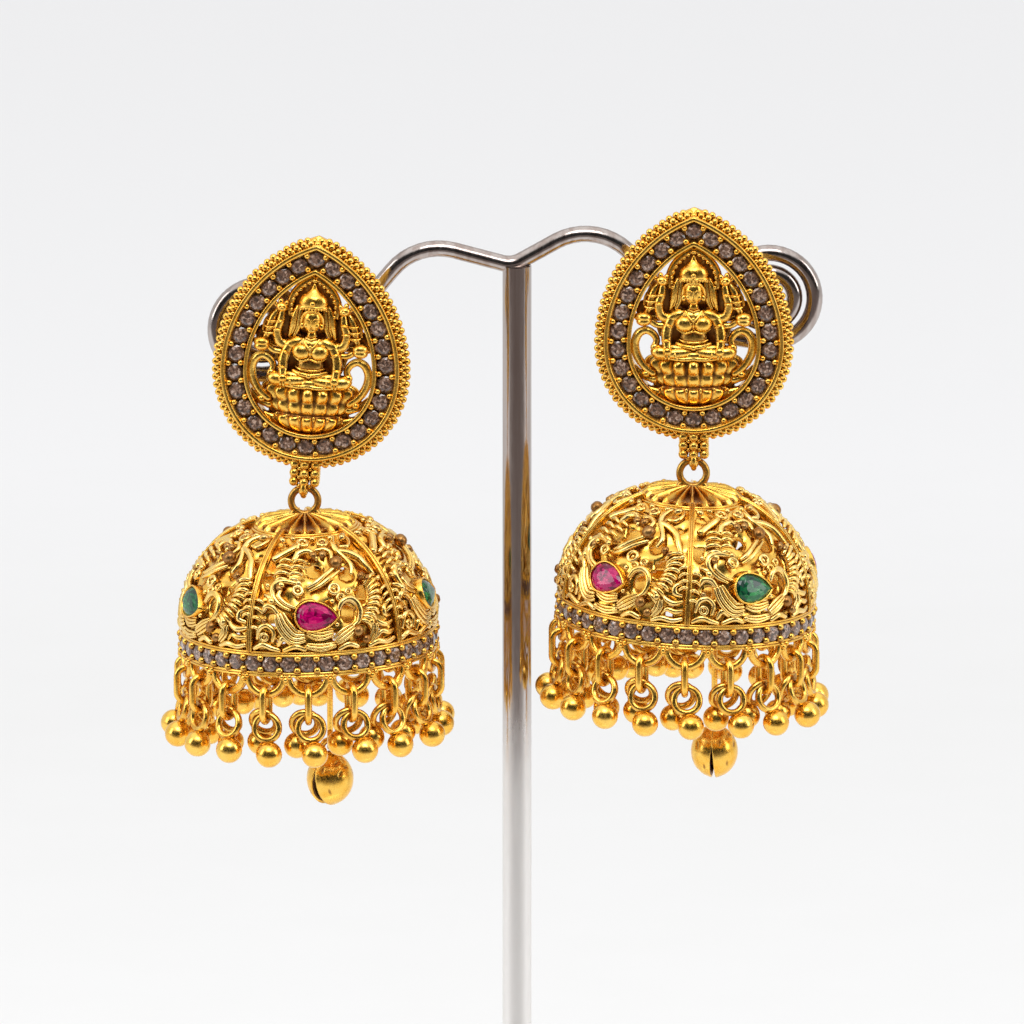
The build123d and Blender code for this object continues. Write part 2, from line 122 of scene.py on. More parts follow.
class Side:
    """One earring: where it hangs and how it sits. The stud's roll and yaw, the dome's tilt and the
    angles of its first rib and of the bell are degrees, and the bell's gap is half its slit."""

    def __init__(self, name, roll, yaw, tilt, rib_angle, bell_turn, bell_gap, gems):
        joint = next(j for j in frame["joints"] if j["name"] == f"{name}_swing")
        self.name = name
        self.pivot = np.array(joint["pos_m"]) / MM
        self.roll, self.yaw, self.tilt = roll, yaw, tilt
        self.rib_angle, self.bell_turn, self.bell_gap = rib_angle, bell_turn, bell_gap
        self.gems = gems
        self.drop_body = joint["child"]
        self.stand_body = joint["parent"]

    def node(self, part):
        return f"{self.name}_{part}"


R, G = "red_gem", "green_gem"
SIDES = (
    Side("left", roll=3.3, yaw=-7.0, tilt=-1.5, rib_angle=-26.6, bell_turn=-44.0, bell_gap=0.5,
         gems=(R, G, R, R, G)),
    Side("right", roll=0.0, yaw=-2.0, tilt=3.0, rib_angle=0.0, bell_turn=-8.0, bell_gap=0.22,
         gems=(G, R, G, G, R)),
)


# ---- Rotations and places ----

# Turns, in degrees, as matrices
def about_x(angle):
    c, s = cos(radians(angle)), sin(radians(angle))
    return np.array([[1, 0, 0], [0, c, -s], [0, s, c]])


def about_y(angle):
    c, s = cos(radians(angle)), sin(radians(angle))
    return np.array([[c, 0, s], [0, 1, 0], [-s, 0, c]])


def about_z(angle):
    c, s = cos(radians(angle)), sin(radians(angle))
    return np.array([[c, -s, 0], [s, c, 0], [0, 0, 1]])


def on_stud(side):
    """Bench points (across, up, height over the stud's back) set on a stud."""
    matrix = about_z(side.yaw) @ about_y(side.roll)

    def place(p):
        local = xyz(p[..., 0], STUD_BACK - p[..., 2], p[..., 1])
        return local @ matrix.T + side.pivot

    return place


def in_stud(side):
    """Points in the stud's own frame, the pivot as origin."""
    matrix = about_z(side.yaw) @ about_y(side.roll)
    return lambda p: p @ matrix.T + side.pivot


def in_dome(side):
    """Points in the dome's own frame, its axis hanging down from the pivot."""
    matrix = about_y(side.tilt)
    return lambda p: p @ matrix.T + side.pivot


def on_panel(side, index):
    """Bench points (across, up, height over the wall) wrapped round the dome's wall in one panel.

    The distance down from the cap's edge is laid along the wall's arc, and the distance across is
    laid round the circle that the arc's point turns in."""
    middle = radians(side.rib_angle + 360 / PANELS * (index + 0.5))
    start = asin((CAP_RADIUS - BULGE_OFFSET) / BULGE_RADIUS)
    hang = in_dome(side)

    def place(p):
        dip = start - p[..., 1] / BULGE_RADIUS
        round_angle = middle + p[..., 0] / (BULGE_OFFSET + BULGE_RADIUS * np.sin(dip))
        reach = BULGE_OFFSET + (BULGE_RADIUS + p[..., 2]) * np.sin(dip)
        level = BULGE_LEVEL + (BULGE_RADIUS + p[..., 2]) * np.cos(dip)
        return hang(xyz(reach * np.sin(round_angle), -reach * np.cos(round_angle), level))

    return place


def on_band(side):
    """Bench points (degrees round from the front, level, distance from the axis) set on the dome."""
    hang = in_dome(side)

    def place(p):
        angle = np.radians(p[..., 0])
        return hang(xyz(p[..., 2] * np.sin(angle), -p[..., 2] * np.cos(angle), p[..., 1]))

    return place


# ---- Shapes: each is a stack of rings, an array (copies, rings, points, 3) ----

def unit(v):
    """Directions: each vector divided by its length."""
    return v / np.maximum(np.linalg.norm(v, axis=-1, keepdims=True), 1e-9)


def curve(knots, steps):
    """A smooth line through the knots, each span a cubic whose slope at a knot is half the step
    between that knot's neighbours. Every column of the knots is carried along, sizes too."""
    k = np.asarray(knots, float)
    k = np.concatenate([2 * k[:1] - k[1:2], k, 2 * k[-1:] - k[-2:-1]])
    t = (np.arange(steps) / steps)[None, :, None]
    a, b, c, d = (k[i : len(k) - 3 + i, None] for i in range(4))
    square, cube = 2 * a - 5 * b + 4 * c - d, 3 * b - a - 3 * c + d
    spans = 0.5 * (2 * b + (c - a) * t + square * t**2 + cube * t**3)
    return np.concatenate([spans.reshape(-1, k.shape[1]), k[-2:-1]])


def xyz(x, y, z):
    """Points from their three coordinates. A single number is the same for all of them."""
    return np.stack(np.broadcast_arrays(x, y, z), -1)


def circle(radius, centre=(0, 0, 0), plane="xz", count=36, start=0.0, end=None):
    """Points round a circle in the plane of two axes, from the first axis towards the second. With
    an end angle it is an arc that holds both its ends. Angles are in degrees."""
    whole = end is None
    angle = np.radians(np.linspace(start, start + 360 if whole else end, count, endpoint=not whole))
    points = np.tile(np.array(centre, float), (count, 1))
    points[:, "xyz".index(plane[0])] += radius * np.cos(angle)
    points[:, "xyz".index(plane[1])] += radius * np.sin(angle)
    return points


def tube(path, width, height=None, sides=10, loop=False, up=(0, 0, 1), groove=0.0):
    """An oval section carried along a path: half as wide and high as given, its height along `up`.
    Open ends are rounded off by rings that shrink as a half circle does. A groove flattens the top."""
    path = np.asarray(path, float)
    width = np.broadcast_to(np.asarray(width, float), path.shape[:1])
    height = width if height is None else np.broadcast_to(np.asarray(height, float), path.shape[:1])
    if loop:
        along = unit(np.roll(path, -1, 0) - np.roll(path, 1, 0))
    else:
        along = unit(np.gradient(path, axis=0))
        ends = np.radians([80, 50, 20])
        first = path[:1] - along[:1] * width[0] * np.sin(ends)[:, None]
        last = path[-1:] + along[-1:] * width[-1] * np.sin(ends[::-1])[:, None]
        shrink = np.concatenate([np.cos(ends), np.ones(len(path)), np.cos(ends[::-1])])
        path = np.concatenate([first, path, last])
        along = np.concatenate([np.repeat(along[:1], 3, 0), along, np.repeat(along[-1:], 3, 0)])
        width = np.concatenate([[width[0]] * 3, width, [width[-1]] * 3]) * shrink
        height = np.concatenate([[height[0]] * 3, height, [height[-1]] * 3]) * shrink
    rise = np.broadcast_to(np.asarray(up, float), path.shape)
    across = unit(np.cross(rise, along))
    rise = np.cross(along, across)
    angle = np.linspace(0, 2 * pi, sides, endpoint=False)
    dip = 1 - groove * np.exp(-(((angle - pi / 2) / 0.5) ** 2))
    x = width[:, None] * np.cos(angle) * dip
    y = height[:, None] * np.sin(angle) * dip
    return (path[:, None] + x[..., None] * across[:, None] + y[..., None] * rise[:, None])[None]


def balls(centres, radii, turns=0.0, rings=7, points=10):
    """Ellipsoids: circles of latitude whose radius is the cosine of the latitude, scaled to the
    three radii and turned about the bench's height."""
    centres = np.asarray(centres, float).reshape(-1, 3)
    radii = np.asarray(radii, float)
    if radii.ndim < 2:
        radii = np.broadcast_to(radii.reshape(1, -1), (len(centres), max(radii.size, 1)))
    radii = np.broadcast_to(radii, (len(centres), 3))
    latitude = np.linspace(-pi / 2, pi / 2, rings + 2)[1:-1]
    longitude = np.linspace(0, 2 * pi, points, endpoint=False)
    flat = np.cos(latitude)[:, None]
    shape = xyz(flat * np.cos(longitude), flat * np.sin(longitude), np.sin(latitude)[:, None])
    p = shape[None] * radii[:, None, None]
    turn = np.radians(np.broadcast_to(turns, (len(centres),)))[:, None, None]
    x = p[..., 0] * np.cos(turn) - p[..., 1] * np.sin(turn)
    y = p[..., 0] * np.sin(turn) + p[..., 1] * np.cos(turn)
    return xyz(x, y, p[..., 2]) + centres[:, None, None]


def sunk(rings=7, amount=1.0, age_and_shade=0.0):
    """How dark each ring of a ball is painted: shaded below its middle, where it sits in the metal, as
    painted shade, and bright above."""
    return np.maximum(np.clip(np.linspace(1.5, -1.1, rings), 0, 1) * amount, age_and_shade)


def under(sides=10, amount=1.0):
    """How dark each line along a tube is painted: painted shade on its lower half and bright on top."""
    height = np.sin(np.linspace(0, 2 * pi, sides, endpoint=False))
    return (np.clip(0.25 - 1.4 * height, 0, 1) * amount)[None, None]


def lathe(profile, segments):
    """A profile of (radius, level) pairs turned about the Z axis."""
    profile = np.asarray(profile, float)
    angle = np.linspace(0, 2 * pi, segments, endpoint=False)
    r = profile[:, :1]
    return xyz(r * np.cos(angle), r * np.sin(angle), profile[:, 1:])[None]


class Casting:
    """Joins stacks of rings into one mesh. Going round a ring and then on to the next ring turns
    the faces outwards, and the two end rings are closed by fans to their middle. Each point keeps
    its patina, with painted shade in it, and a tone that is the same all over one copy of a shape."""

    def __init__(self, place=lambda p: p, seed=SEED):
        self.place = place
        self.points, self.quads, self.fans = [], [], []
        self.patina, self.tone = [], []
        self.count = 0
        self.random = np.random.default_rng(seed)

    def keep(self, points, patina, tone):
        """Store points and return the number of the first."""
        self.points.append(points.reshape(-1, 3))
        self.patina.append(np.broadcast_to(patina, points.shape[:-1]).reshape(-1))
        self.tone.append(np.broadcast_to(tone, points.shape[:-1]).reshape(-1))
        start = self.count
        self.count += points.size // 3
        return start

    def add(self, rings, loop=False, patina=0.0, place=None):
        """Skin a stack of rings. A loop's last ring joins its first, so it has no ends to close."""
        rings = (place or self.place)(np.asarray(rings, float))
        copies, n, m, _ = rings.shape
        patina = np.asarray(patina, float)
        if patina.ndim == 1:
            patina = patina[None, :, None]
        tone = self.random.random(copies)[:, None, None]
        start = self.keep(rings, patina, tone)
        index = start + np.arange(copies * n * m).reshape(copies, n, m)
        low = index if loop else index[:, :-1]
        high = np.roll(index, -1, 1) if loop else index[:, 1:]
        quads = np.stack([low, np.roll(low, -1, 2), np.roll(high, -1, 2), high], -1)
        self.quads.append(quads.reshape(-1, 4))
        if loop:
            return
        for ring, which in ((0, 0), (-1, 1)):
            middle = rings[:, ring].mean(1)
            end_patina = np.broadcast_to(patina, rings.shape[:-1])[:, ring].mean(1)
            at = self.keep(middle, end_patina, tone[:, 0, 0]) + np.arange(copies)
            a, b = index[:, ring], np.roll(index[:, ring], -1, 1)
            at = np.broadcast_to(at[:, None], a.shape)
            fan = (at, b, a) if which == 0 else (at, a, b)
            self.fans.append(np.stack(fan, -1).reshape(-1, 3))

    def hoop(self, path, wire, height=None, up=(0, 0, 1), sides=10, **how):
        """A wire whose path runs back into its start."""
        self.add(tube(path, wire, height, sides, True, up), loop=True, **how)

    def piece(self, name, body, finish=None, nodes=(), slot="antique_gold", flat=False):
        """Make the object, riding on its body and standing for its CAD nodes. It is aged gold with painted
        shade unless it is given another finish."""
        points = np.concatenate(self.points) * MM
        quads = np.concatenate(self.quads) if self.quads else np.zeros((0, 4), int)
        fans = np.concatenate(self.fans) if self.fans else np.zeros((0, 3), int)
        mesh = bpy.data.meshes.new(name)
        mesh.vertices.add(len(points))
        mesh.vertices.foreach_set("co", points.astype(np.float32).ravel())
        mesh.loops.add(quads.size + fans.size)
        corners = np.concatenate([quads.ravel(), fans.ravel()])
        mesh.loops.foreach_set("vertex_index", corners.astype(np.int32))
        mesh.polygons.add(len(quads) + len(fans))
        starts = np.concatenate([np.arange(len(quads)) * 4, quads.size + np.arange(len(fans)) * 3])
        mesh.polygons.foreach_set("loop_start", starts.astype(np.int32))
        for label, values in (("patina", self.patina), ("tone", self.tone)):
            layer = mesh.attributes.new(label, "FLOAT", "POINT")
            layer.data.foreach_set("value", np.concatenate(values).astype(np.float32))
        facet = mesh.attributes.new("facet", "FLOAT", "FACE")
        facet.data.foreach_set("value", self.random.random(len(mesh.polygons)).astype(np.float32))
        mesh.update(calc_edges=True)
        mesh.polygons.foreach_set("use_smooth", np.full(len(mesh.polygons), not flat))
        mesh.materials.append(finish or antique_gold())
        piece = bpy.data.objects.new(name, mesh)
        bpy.context.scene.collection.objects.link(piece)
        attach(piece, body)
        if nodes:
            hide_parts(*nodes)


# ---- Outline of the stud ----

def teardrop(radius, rise, offset, share):
    """Across and up of points round a teardrop, for shares 0 to 1 clockwise from its tip. A half circle
    is below the centre, and two tangent flank arcs meet at the tip. An offset line keeps the arcs'
    centres, so each share's points stay in line across all offsets."""
    flank = rise / sin(2 * atan(radius / rise))
    side = flank - radius
    offset = np.asarray(offset, float)
    top = np.arccos(side / (flank + offset))
    flank_length = flank * np.arccos(side / flank)
    length = 2 * flank_length + pi * radius
    run = np.asarray(share, float) * length
    right, left = run < flank_length, run > length - flank_length
    fall = np.clip(run / flank_length, 0, 1)
    climb = np.clip((length - run) / flank_length, 0, 1)
    low = -(run - flank_length) / radius
    angle = np.where(right, top * (1 - fall), np.where(left, pi - top * (1 - climb), low))
    reach = np.where(right | left, flank + offset, radius + offset)
    shift = np.where(right, -side, np.where(left, side, 0.0))
    return shift + reach * np.cos(angle), reach * np.sin(angle)


def round_stud(profile, shares=180):
    """A closed profile of (offset, height) pairs carried round the stud's outline."""
    profile = np.asarray(profile, float)
    share = np.arange(shares) / shares
    x, y = teardrop(STUD_RADIUS, STUD_RISE, profile[:, :1], share[None])
    return xyz(x, y + STUD_CENTRE, profile[:, 1:])[None, :, ::-1]


def along_stud(offset, count, phase=0.0):
    """Across and up of evenly spaced points round the stud at one offset."""
    share = np.linspace(0, 1, 2000, endpoint=False)
    x, y = teardrop(STUD_RADIUS, STUD_RISE, offset, share)
    step = np.hypot(np.roll(x, -1) - x, np.roll(y, -1) - y)
    run = np.concatenate([[0], np.cumsum(step)])
    wanted = (np.arange(count) + phase) / count % 1 * run[-1]
    share = np.interp(wanted, run, np.append(share, 1.0))
    x, y = teardrop(STUD_RADIUS, STUD_RISE, offset, share)
    return x, y + STUD_CENTRE


# ---- Materials ----

def new_group(name, inputs, outputs):
    """An empty shader group with named inputs (name, kind, value) and outputs (name, kind)."""
    group = bpy.data.node_groups.new(name, "ShaderNodeTree")
    for label, kind, value in inputs:
        socket = group.interface.new_socket(label, in_out="INPUT", socket_type=kind)
        if value is not None:
            socket.default_value = value
    for label, kind in outputs:
        group.interface.new_socket(label, in_out="OUTPUT", socket_type=kind)
    return group, group.nodes.new("NodeGroupInput"), group.nodes.new("NodeGroupOutput")


class Nodes:
    """Short calls that add nodes to one tree and link their sockets."""

    def __init__(self, tree):
        self.tree = tree

    def add(self, kind, links=(), **settings):
        node = self.tree.nodes.new(kind)
        for key, value in settings.items():
            setattr(node, key, value)
        for socket, value in dict(links).items():
            self.feed(node.inputs[socket], value)
        return node

    def feed(self, socket, value):
        if isinstance(value, bpy.types.NodeSocket):
            self.tree.links.new(value, socket)
        else:
            socket.default_value = value

    def math(self, operation, *values, clamp=False):
        node = self.tree.nodes.new("ShaderNodeMath")
        node.operation, node.use_clamp = operation, clamp
        for socket, value in zip(node.inputs, values):
            self.feed(socket, value)
        return node.outputs[0]

    def plus(self, a, b, clamp=False):
        return self.math("ADD", a, b, clamp=clamp)

    def times(self, a, b):
        return self.math("MULTIPLY", a, b)

    def mix(self, factor, a, b):
        node = self.add("ShaderNodeMix", data_type="RGBA")
        for index, value in ((0, factor), (6, a), (7, b)):
            self.feed(node.inputs[index], value)
        return node.outputs[2]

    def span(self, value, low, high, to_low=0.0, to_high=1.0):
        links = {"Value": value, "From Min": low, "From Max": high, "To Min": to_low, "To Max": to_high}
        return self.add("ShaderNodeMapRange", links, interpolation_type="SMOOTHSTEP").outputs[0]

    def noise(self, coordinates, scale, detail=3.0):
        links = {"Vector": coordinates, "Scale": scale, "Detail": detail}
        return self.add("ShaderNodeTexNoise", links).outputs[0]

    def stretch(self, coordinates, share):
        """Coordinates that draw a pattern out along Z."""
        return self.add("ShaderNodeMapping", {"Vector": coordinates, "Scale": (1.0, 1.0, share)}).outputs[0]

    def attribute(self, name):
        """The values that a mesh carries under a name."""
        return self.add("ShaderNodeAttribute", attribute_name=name).outputs["Fac"]


COLOR, FLOAT, VECTOR = "NodeSocketColor", "NodeSocketFloat", "NodeSocketVector"


def patina_group():
    """Antique finish: dark in the metal's hollows, a painted shade that stands also for the patina there,
    and where a piece is marked with patina and painted shade; elsewhere bright, with cloudy changes of tone
    and a fine cast grain."""
    group, given, out = new_group(
        "Antique patina",
        [
            ("Coordinates", VECTOR, None),
            ("Bright", COLOR, None),
            ("Deep", COLOR, None),
            ("Old", COLOR, None),
            ("Age", FLOAT, 0.0),
            ("Tone", FLOAT, 0.5),
            ("Reach", FLOAT, 0.0007),
            ("Darkness", FLOAT, 1.0),
        ],
        [("Colour", COLOR), ("Roughness", FLOAT), ("Height", FLOAT)],
    )
    n = Nodes(group)
    g = given.outputs
    clouds_per_metre, grains_per_metre = 900.0, 5200.0
    gloss, grime_blur = 0.16, 0.14
    # Ambient occlusion: painted shade in the hollows, standing also for the patina there.
    hollow_shade = n.add("ShaderNodeAmbientOcclusion", {"Distance": g["Reach"]}, samples=8).outputs["AO"]
    hollow_shade = n.span(hollow_shade, 0.25, 0.85, 1.0, 0.0)
    cloud = n.noise(g["Coordinates"], clouds_per_metre)
    fine = n.noise(g["Coordinates"], grains_per_metre, 2.0)
    # The darkness is the painted shade in hollows, the piece's own patina and painted shade, and a little
    # cloud.
    old_and_shade = n.times(hollow_shade, g["Darkness"])
    old_and_shade = n.plus(old_and_shade, g["Age"])
    old_and_shade = n.plus(old_and_shade, n.times(n.math("SUBTRACT", cloud, 0.5), 0.5))
    old_and_shade = n.span(old_and_shade, 0.05, 0.85, 0.0, 1.0)
    cloudy = n.span(cloud, 0.35, 0.7, 0.0, 0.6)
    shade = n.plus(n.times(g["Tone"], 0.35), cloudy, clamp=True)
    colour = n.mix(shade, g["Bright"], g["Deep"])
    colour = n.mix(n.times(old_and_shade, 0.92), colour, g["Old"])
    rough = n.plus(n.times(old_and_shade, grime_blur), n.span(fine, 0.3, 0.7, 0.0, gloss))
    n.feed(out.inputs["Colour"], colour)
    n.feed(out.inputs["Roughness"], n.plus(rough, gloss))
    n.feed(out.inputs["Height"], n.plus(n.times(cloud, 1.4), fine))
    return group


def sparkle_group():
    """Cut stone: painted reflections, cells of bright and dark as seen through the facets, mixed with a
    brightness painted at random on each facet."""
    group, given, out = new_group(
        "Stone sparkle",
        [
            ("Coordinates", VECTOR, None),
            ("Dark", COLOR, None),
            ("Body", COLOR, None),
            ("Light", COLOR, None),
            ("Facet", FLOAT, 0.5),
            ("Cells", FLOAT, 3000.0),
        ],
        [("Colour", COLOR)],
    )
    n = Nodes(group)
    g = given.outputs
    cells = n.add("ShaderNodeTexVoronoi", {"Vector": g["Coordinates"], "Scale": g["Cells"]})
    split = n.add("ShaderNodeSeparateColor", {"Color": cells.outputs["Color"]}).outputs[0]
    cell_share, facet_share = 0.45, 0.55
    level = n.plus(n.times(split, cell_share), n.times(g["Facet"], facet_share))
    colour = n.mix(n.span(level, 0.2, 0.6), g["Dark"], g["Body"])
    glint = n.span(level, 0.6, 0.9)
    n.feed(out.inputs["Colour"], n.mix(glint, colour, g["Light"]))
    return group


def brushed_group():
    """Drawn and polished steel: faint cloudy marks and fine pits, and a brown painted reflection in streaks
    that begins a little under the bent wire."""
    group, given, out = new_group(
        "Polished wire",
        [
            ("Coordinates", VECTOR, None),
            ("Steel", COLOR, None),
            ("Dull", COLOR, None),
            ("Brown", COLOR, None),
        ],
        [("Colour", COLOR), ("Roughness", FLOAT), ("Height", FLOAT)],
    )
    n = Nodes(group)
    g = given.outputs
    clouds_per_metre, pits_per_metre, streaks_per_metre = 320.0, 4200.0, 1500.0
    drawn = n.stretch(g["Coordinates"], 0.12)
    cloud = n.noise(drawn, clouds_per_metre)
    fine = n.noise(drawn, pits_per_metre, 2.0)
    level = n.add("ShaderNodeSeparateXYZ", {"Vector": g["Coordinates"]}).outputs["Z"]
    low = n.mix(n.span(cloud, 0.35, 0.7), g["Steel"], g["Dull"])
    streaks = n.noise(n.stretch(g["Coordinates"], 0.02), streaks_per_metre)
    marks = n.span(streaks, 0.35, 0.75, 0.75, 1.0)
    # The painted brown reflection sets in between two levels in metres, and the steel under it is less
    # polished.
    brown_reflection = n.times(n.span(level, 0.064, 0.082), marks)
    blur = n.span(level, 0.062, 0.08, 0.35, 0.0)
    n.feed(out.inputs["Colour"], n.mix(brown_reflection, low, g["Brown"]))
    n.feed(out.inputs["Roughness"], n.plus(n.span(fine, 0.3, 0.7, 0.1, 0.2), blur))
    n.feed(out.inputs["Height"], fine)
    return group


def material(name, **plain):
    """A new material whose shader has the plain values, with Object coordinates to hand."""
    made = bpy.data.materials.new(name)
    made.use_nodes = True
    shader = made.node_tree.nodes["Principled BSDF"]
    for socket, value in plain.items():
        shader.inputs[socket.replace("_", " ")].default_value = value
    n = Nodes(made.node_tree)
    n.shader = shader
    n.coordinates = n.add("ShaderNodeTexCoord").outputs["Object"]
    return made, n


def opts():
    """The sizes and colours set in the panel."""
    return bpy.context.scene.jhumka


def plate(n, finish, grain):
    """Join a metal finish to the shader: its colour, its gloss, and its grain as a bump."""
    bump = n.add("ShaderNodeBump", {"Height": finish["Height"], "Distance": grain * MM})
    n.feed(n.shader.inputs["Base Color"], finish["Colour"])
    n.feed(n.shader.inputs["Roughness"], finish["Roughness"])
    n.feed(n.shader.inputs["Normal"], bump.outputs[0])


def antique_gold(name="aged_gold", darkness=0.35, reach=0.7, grain=0.02, highlight_share=0.0):
    """Warm gold plating, dark in its hollows with painted shade that stands also for patina. The reach of
    the hollows and the depth of the grain are in millimetres."""
    if name in bpy.data.materials:
        return bpy.data.materials[name]
    group = bpy.data.node_groups.get("Antique patina") or patina_group()
    made, n = material(name, Metallic=1.0)
    o = opts()
    pale, bright, deep = (np.array(colour) for colour in (o.gold_pale, o.gold_bright, o.gold_deep))
    links = {
        "Coordinates": n.coordinates,
        # Drawing the gold towards the pale gold paints a highlight.
        "Bright": tuple(bright * (1 - highlight_share) + pale * highlight_share),
        "Deep": tuple(deep * (1 - highlight_share) + bright * highlight_share),
        "Old": tuple(o.gold_old_and_shade),
        "Age": n.attribute("patina"),
        "Tone": n.attribute("tone"),
        "Reach": reach * MM,
        "Darkness": darkness,
    }
    plate(n, n.add("ShaderNodeGroup", links, node_tree=group).outputs, grain)
    return made


def frame_gold():
    """Gold of the stud's frame, the band and the cap: dark where it is marked with patina and painted
    shade, and a little in its hollows as painted shade.
    """
    return antique_gold("frame_gold", 0.3, reach=0.5, grain=0.008)


def relief_gold():
    """Gold of the openwork's relief: drawn towards the pale gold as a painted highlight, and darkened at
    its foot by painted shade.
    """
    return antique_gold("relief_gold", 0.35, reach=0.25, grain=0.004, highlight_share=0.75)


def wall_gold():
    """Gold of the pierced wall: a clean amber."""
    return antique_gold("wall_gold", 0.2, reach=0.3, grain=0.003)


def bead_gold():
    """Gold of the balls, rings and bells: smoother, with broad clouds of tone."""
    return antique_gold("bead_gold", 0.5, reach=1.0, grain=0.003)


def stone(name, dark, body, glint, cells, roughness=0.08, density=1.7):
    """An opaque-looking cut stone whose facets differ in lightness as painted reflections, under a clear
    polish.
    """
    if name in bpy.data.materials:
        return bpy.data.materials[name]
    group = bpy.data.node_groups.get("Stone sparkle") or sparkle_group()
    made, n = material(name, Roughness=roughness, IOR=density, Coat_Weight=0.35, Coat_Roughness=0.03)
    links = {
        "Coordinates": n.coordinates,
        "Dark": dark,
        "Body": body,
        "Light": glint,
        "Facet": n.attribute("facet"),
        "Cells": cells,
    }
    cut = n.add("ShaderNodeGroup", links, node_tree=group)
    n.feed(n.shader.inputs["Base Color"], cut.outputs["Colour"])
    return made


def pale_stone():
    """The small pale stones."""
    o = opts()
    dark, body, glint = tuple(o.stone_dark), tuple(o.stone_body), tuple(o.stone_light)
    return stone("clear_stone", dark, body, glint, cells=5200.0)


def gem_material(slot):
    """Ruby or emerald for a gem's slot."""
    o = opts()
    # The dark and bright colours are painted reflections in the facets, and the middle one is the body
    # colour.
    name, dark, body, glint = {
        "red_gem": ("ruby", (0.14, 0.0, 0.035, 1), tuple(o.ruby), (0.72, 0.03, 0.17, 1)),
        "green_gem": ("emerald", (0.0, 0.03, 0.016, 1), tuple(o.emerald), (0.06, 0.32, 0.1, 1)),
    }[slot]
    return stone(name, dark, body, glint, cells=1100.0, roughness=0.06, density=1.4)


def steel():
    """Chrome-plated steel of the stand."""
    if "stand_chrome" in bpy.data.materials:
        return bpy.data.materials["stand_chrome"]
    made, n = material("stand_chrome", Metallic=1.0)
    o = opts()
    links = {
        "Coordinates": n.coordinates,
        "Steel": tuple(o.steel),
        "Dull": tuple(o.steel_dull),
        "Brown": tuple(o.steel_brown),
    }
    plate(n, n.add("ShaderNodeGroup", links, node_tree=brushed_group()).outputs, 0.002)
    return made


# ---- Stud ----

def build_stud_frame(side):
    """The stone channel between its two ridges, and the ledge under the granule border: one closed
    profile carried round the stud."""
    r, w, f = RIDGE_HEIGHT, CHANNEL_WIDTH, CHANNEL_FLOOR
    half, edge, patina_shade_scale = RIDGE_HALF, 0.06, 0.6
    profile = np.array([  # offset, height, age, with painted shade in the channel and under the ridges
        # Inner ridge
        (-w - half, 0.0, 0), (-w - half, r - edge, 0), (-w - half + edge, r, 0),
        (-w + half - edge, r, 0), (-w + half, r - edge, 0.1), (-w + half + 0.1, f + 0.35, 0.9),
        # Channel
        (-w + 0.45, f, 0.9), (-0.62, f, 0.9), (-0.4, f + 0.42, 0.95), (-0.36, f + 0.46, 0.9),
        # Outer ridge
        (-half, r - edge, 0.1), (-half + edge, r, 0), (half - edge, r, 0), (half, r - edge, 0),
        (half + 0.05, 1.3, 0.1), (half + 0.15, 0.9, 0.2),
        # Ledge
        (0.8, 0.8, 0.4), (0.86, 0.7, 0.3), (0.86, 0.4, 0.1), (0.7, 0.3, 0), (half, 0.3, 0), (half, 0.0, 0),
    ])
    work = Casting(on_stud(side))
    work.add(round_stud(profile[:, :2]), loop=True, patina=profile[:, 2] * patina_shade_scale)
    name, node = side.node("stud_frame"), side.node("stud")
    work.piece(name, side.stand_body, frame_gold(), [node])


def build_granules(side):
    """Staggered rows of soldered granules round the stud, kept a little short of its tip."""
    work = Casting(on_stud(side))
    size = opts().granule_size / MM / 2
    border, pitch = 66.0, 1.04
    count = round(border / (2 * size * pitch))
    rows = ((0.86, 0.8, 0.5, 1.0), (0.55, 1.3, 0.0, 0.95), (0.34, 1.62, 0.5, 0.6))
    for offset, height, phase, scale in rows:
        x, y = along_stud(offset, count, phase)
        highest = STUD_CENTRE + STUD_RISE + 0.75 * offset - 0.25
        centres = xyz(x, np.minimum(y, highest), height)
        jitter = work.random.normal(0, 0.02, (count, 3))
        radii = size * scale * (1 + work.random.normal(0, 0.03, (count, 1)))
        # Granules are painted shaded at their foot and bright on top.
        work.add(balls(centres + jitter, radii, rings=6, points=10), patina=sunk(6, 0.6))
    work.piece(side.node("stud_granules"), side.stand_body)


def cut_stones(centres, outward, level_up, radius):
    """Round cut stones: rings of twelve corners, some turned half a step from the one below, from
    the girdle up to the table. The first two rings are the straight side in the setting."""
    cut = ((0.55, -0.5, 0.0), (1.0, -0.1, 0.0), (1.0, 0.08, 0.0), (0.78, 0.3, 0.5), (0.5, 0.42, 0.0))
    corners = np.arange(12) * pi / 6
    out = unit(np.asarray(outward, float))
    up = unit(np.asarray(level_up, float) * np.ones_like(out))
    across = np.cross(up, out)
    stack = []
    for reach, height, turn in cut:
        angle = corners + turn * pi / 6
        x, y = radius * reach * np.cos(angle), radius * reach * np.sin(angle)
        flat = x[None, :, None] * across[:, None] + y[None, :, None] * up[:, None]
        stack.append(centres[:, None] + flat + (radius * height) * out[:, None])
    return np.stack(stack, 1)


def build_stud_stones(side):
    """The stones of the stud's channel and the pairs of prong beads between them."""
    radius = opts().stone_size / MM / 2
    stone_height, prong_height, prong_size = 1.62, 1.74, (0.34, 0.34, 0.42)
    x, y = along_stud(STONE_LINE, STUD_STONES, 0.0)
    centres = xyz(x, y, stone_height)
    work = Casting(on_stud(side))
    work.add(cut_stones(centres, np.tile([0.0, 0, 1], (len(x), 1)), [0.0, 1, 0], radius))
    work.piece(side.node("stud_stones"), side.stand_body, pale_stone(), slot="pale_stone", flat=True)
    beads = Casting(on_stud(side))
    for offset in (-0.52, -1.78):
        x, y = along_stud(offset, STUD_STONES, 0.5)
        centres = xyz(x, y, prong_height)
        jitter = beads.random.normal(0, 0.03, centres.shape)
        # Prong beads are painted shaded at their foot and bright on top.
        beads.add(balls(centres + jitter, prong_size), patina=sunk())
    beads.piece(side.node("stud_prongs"), side.stand_body)


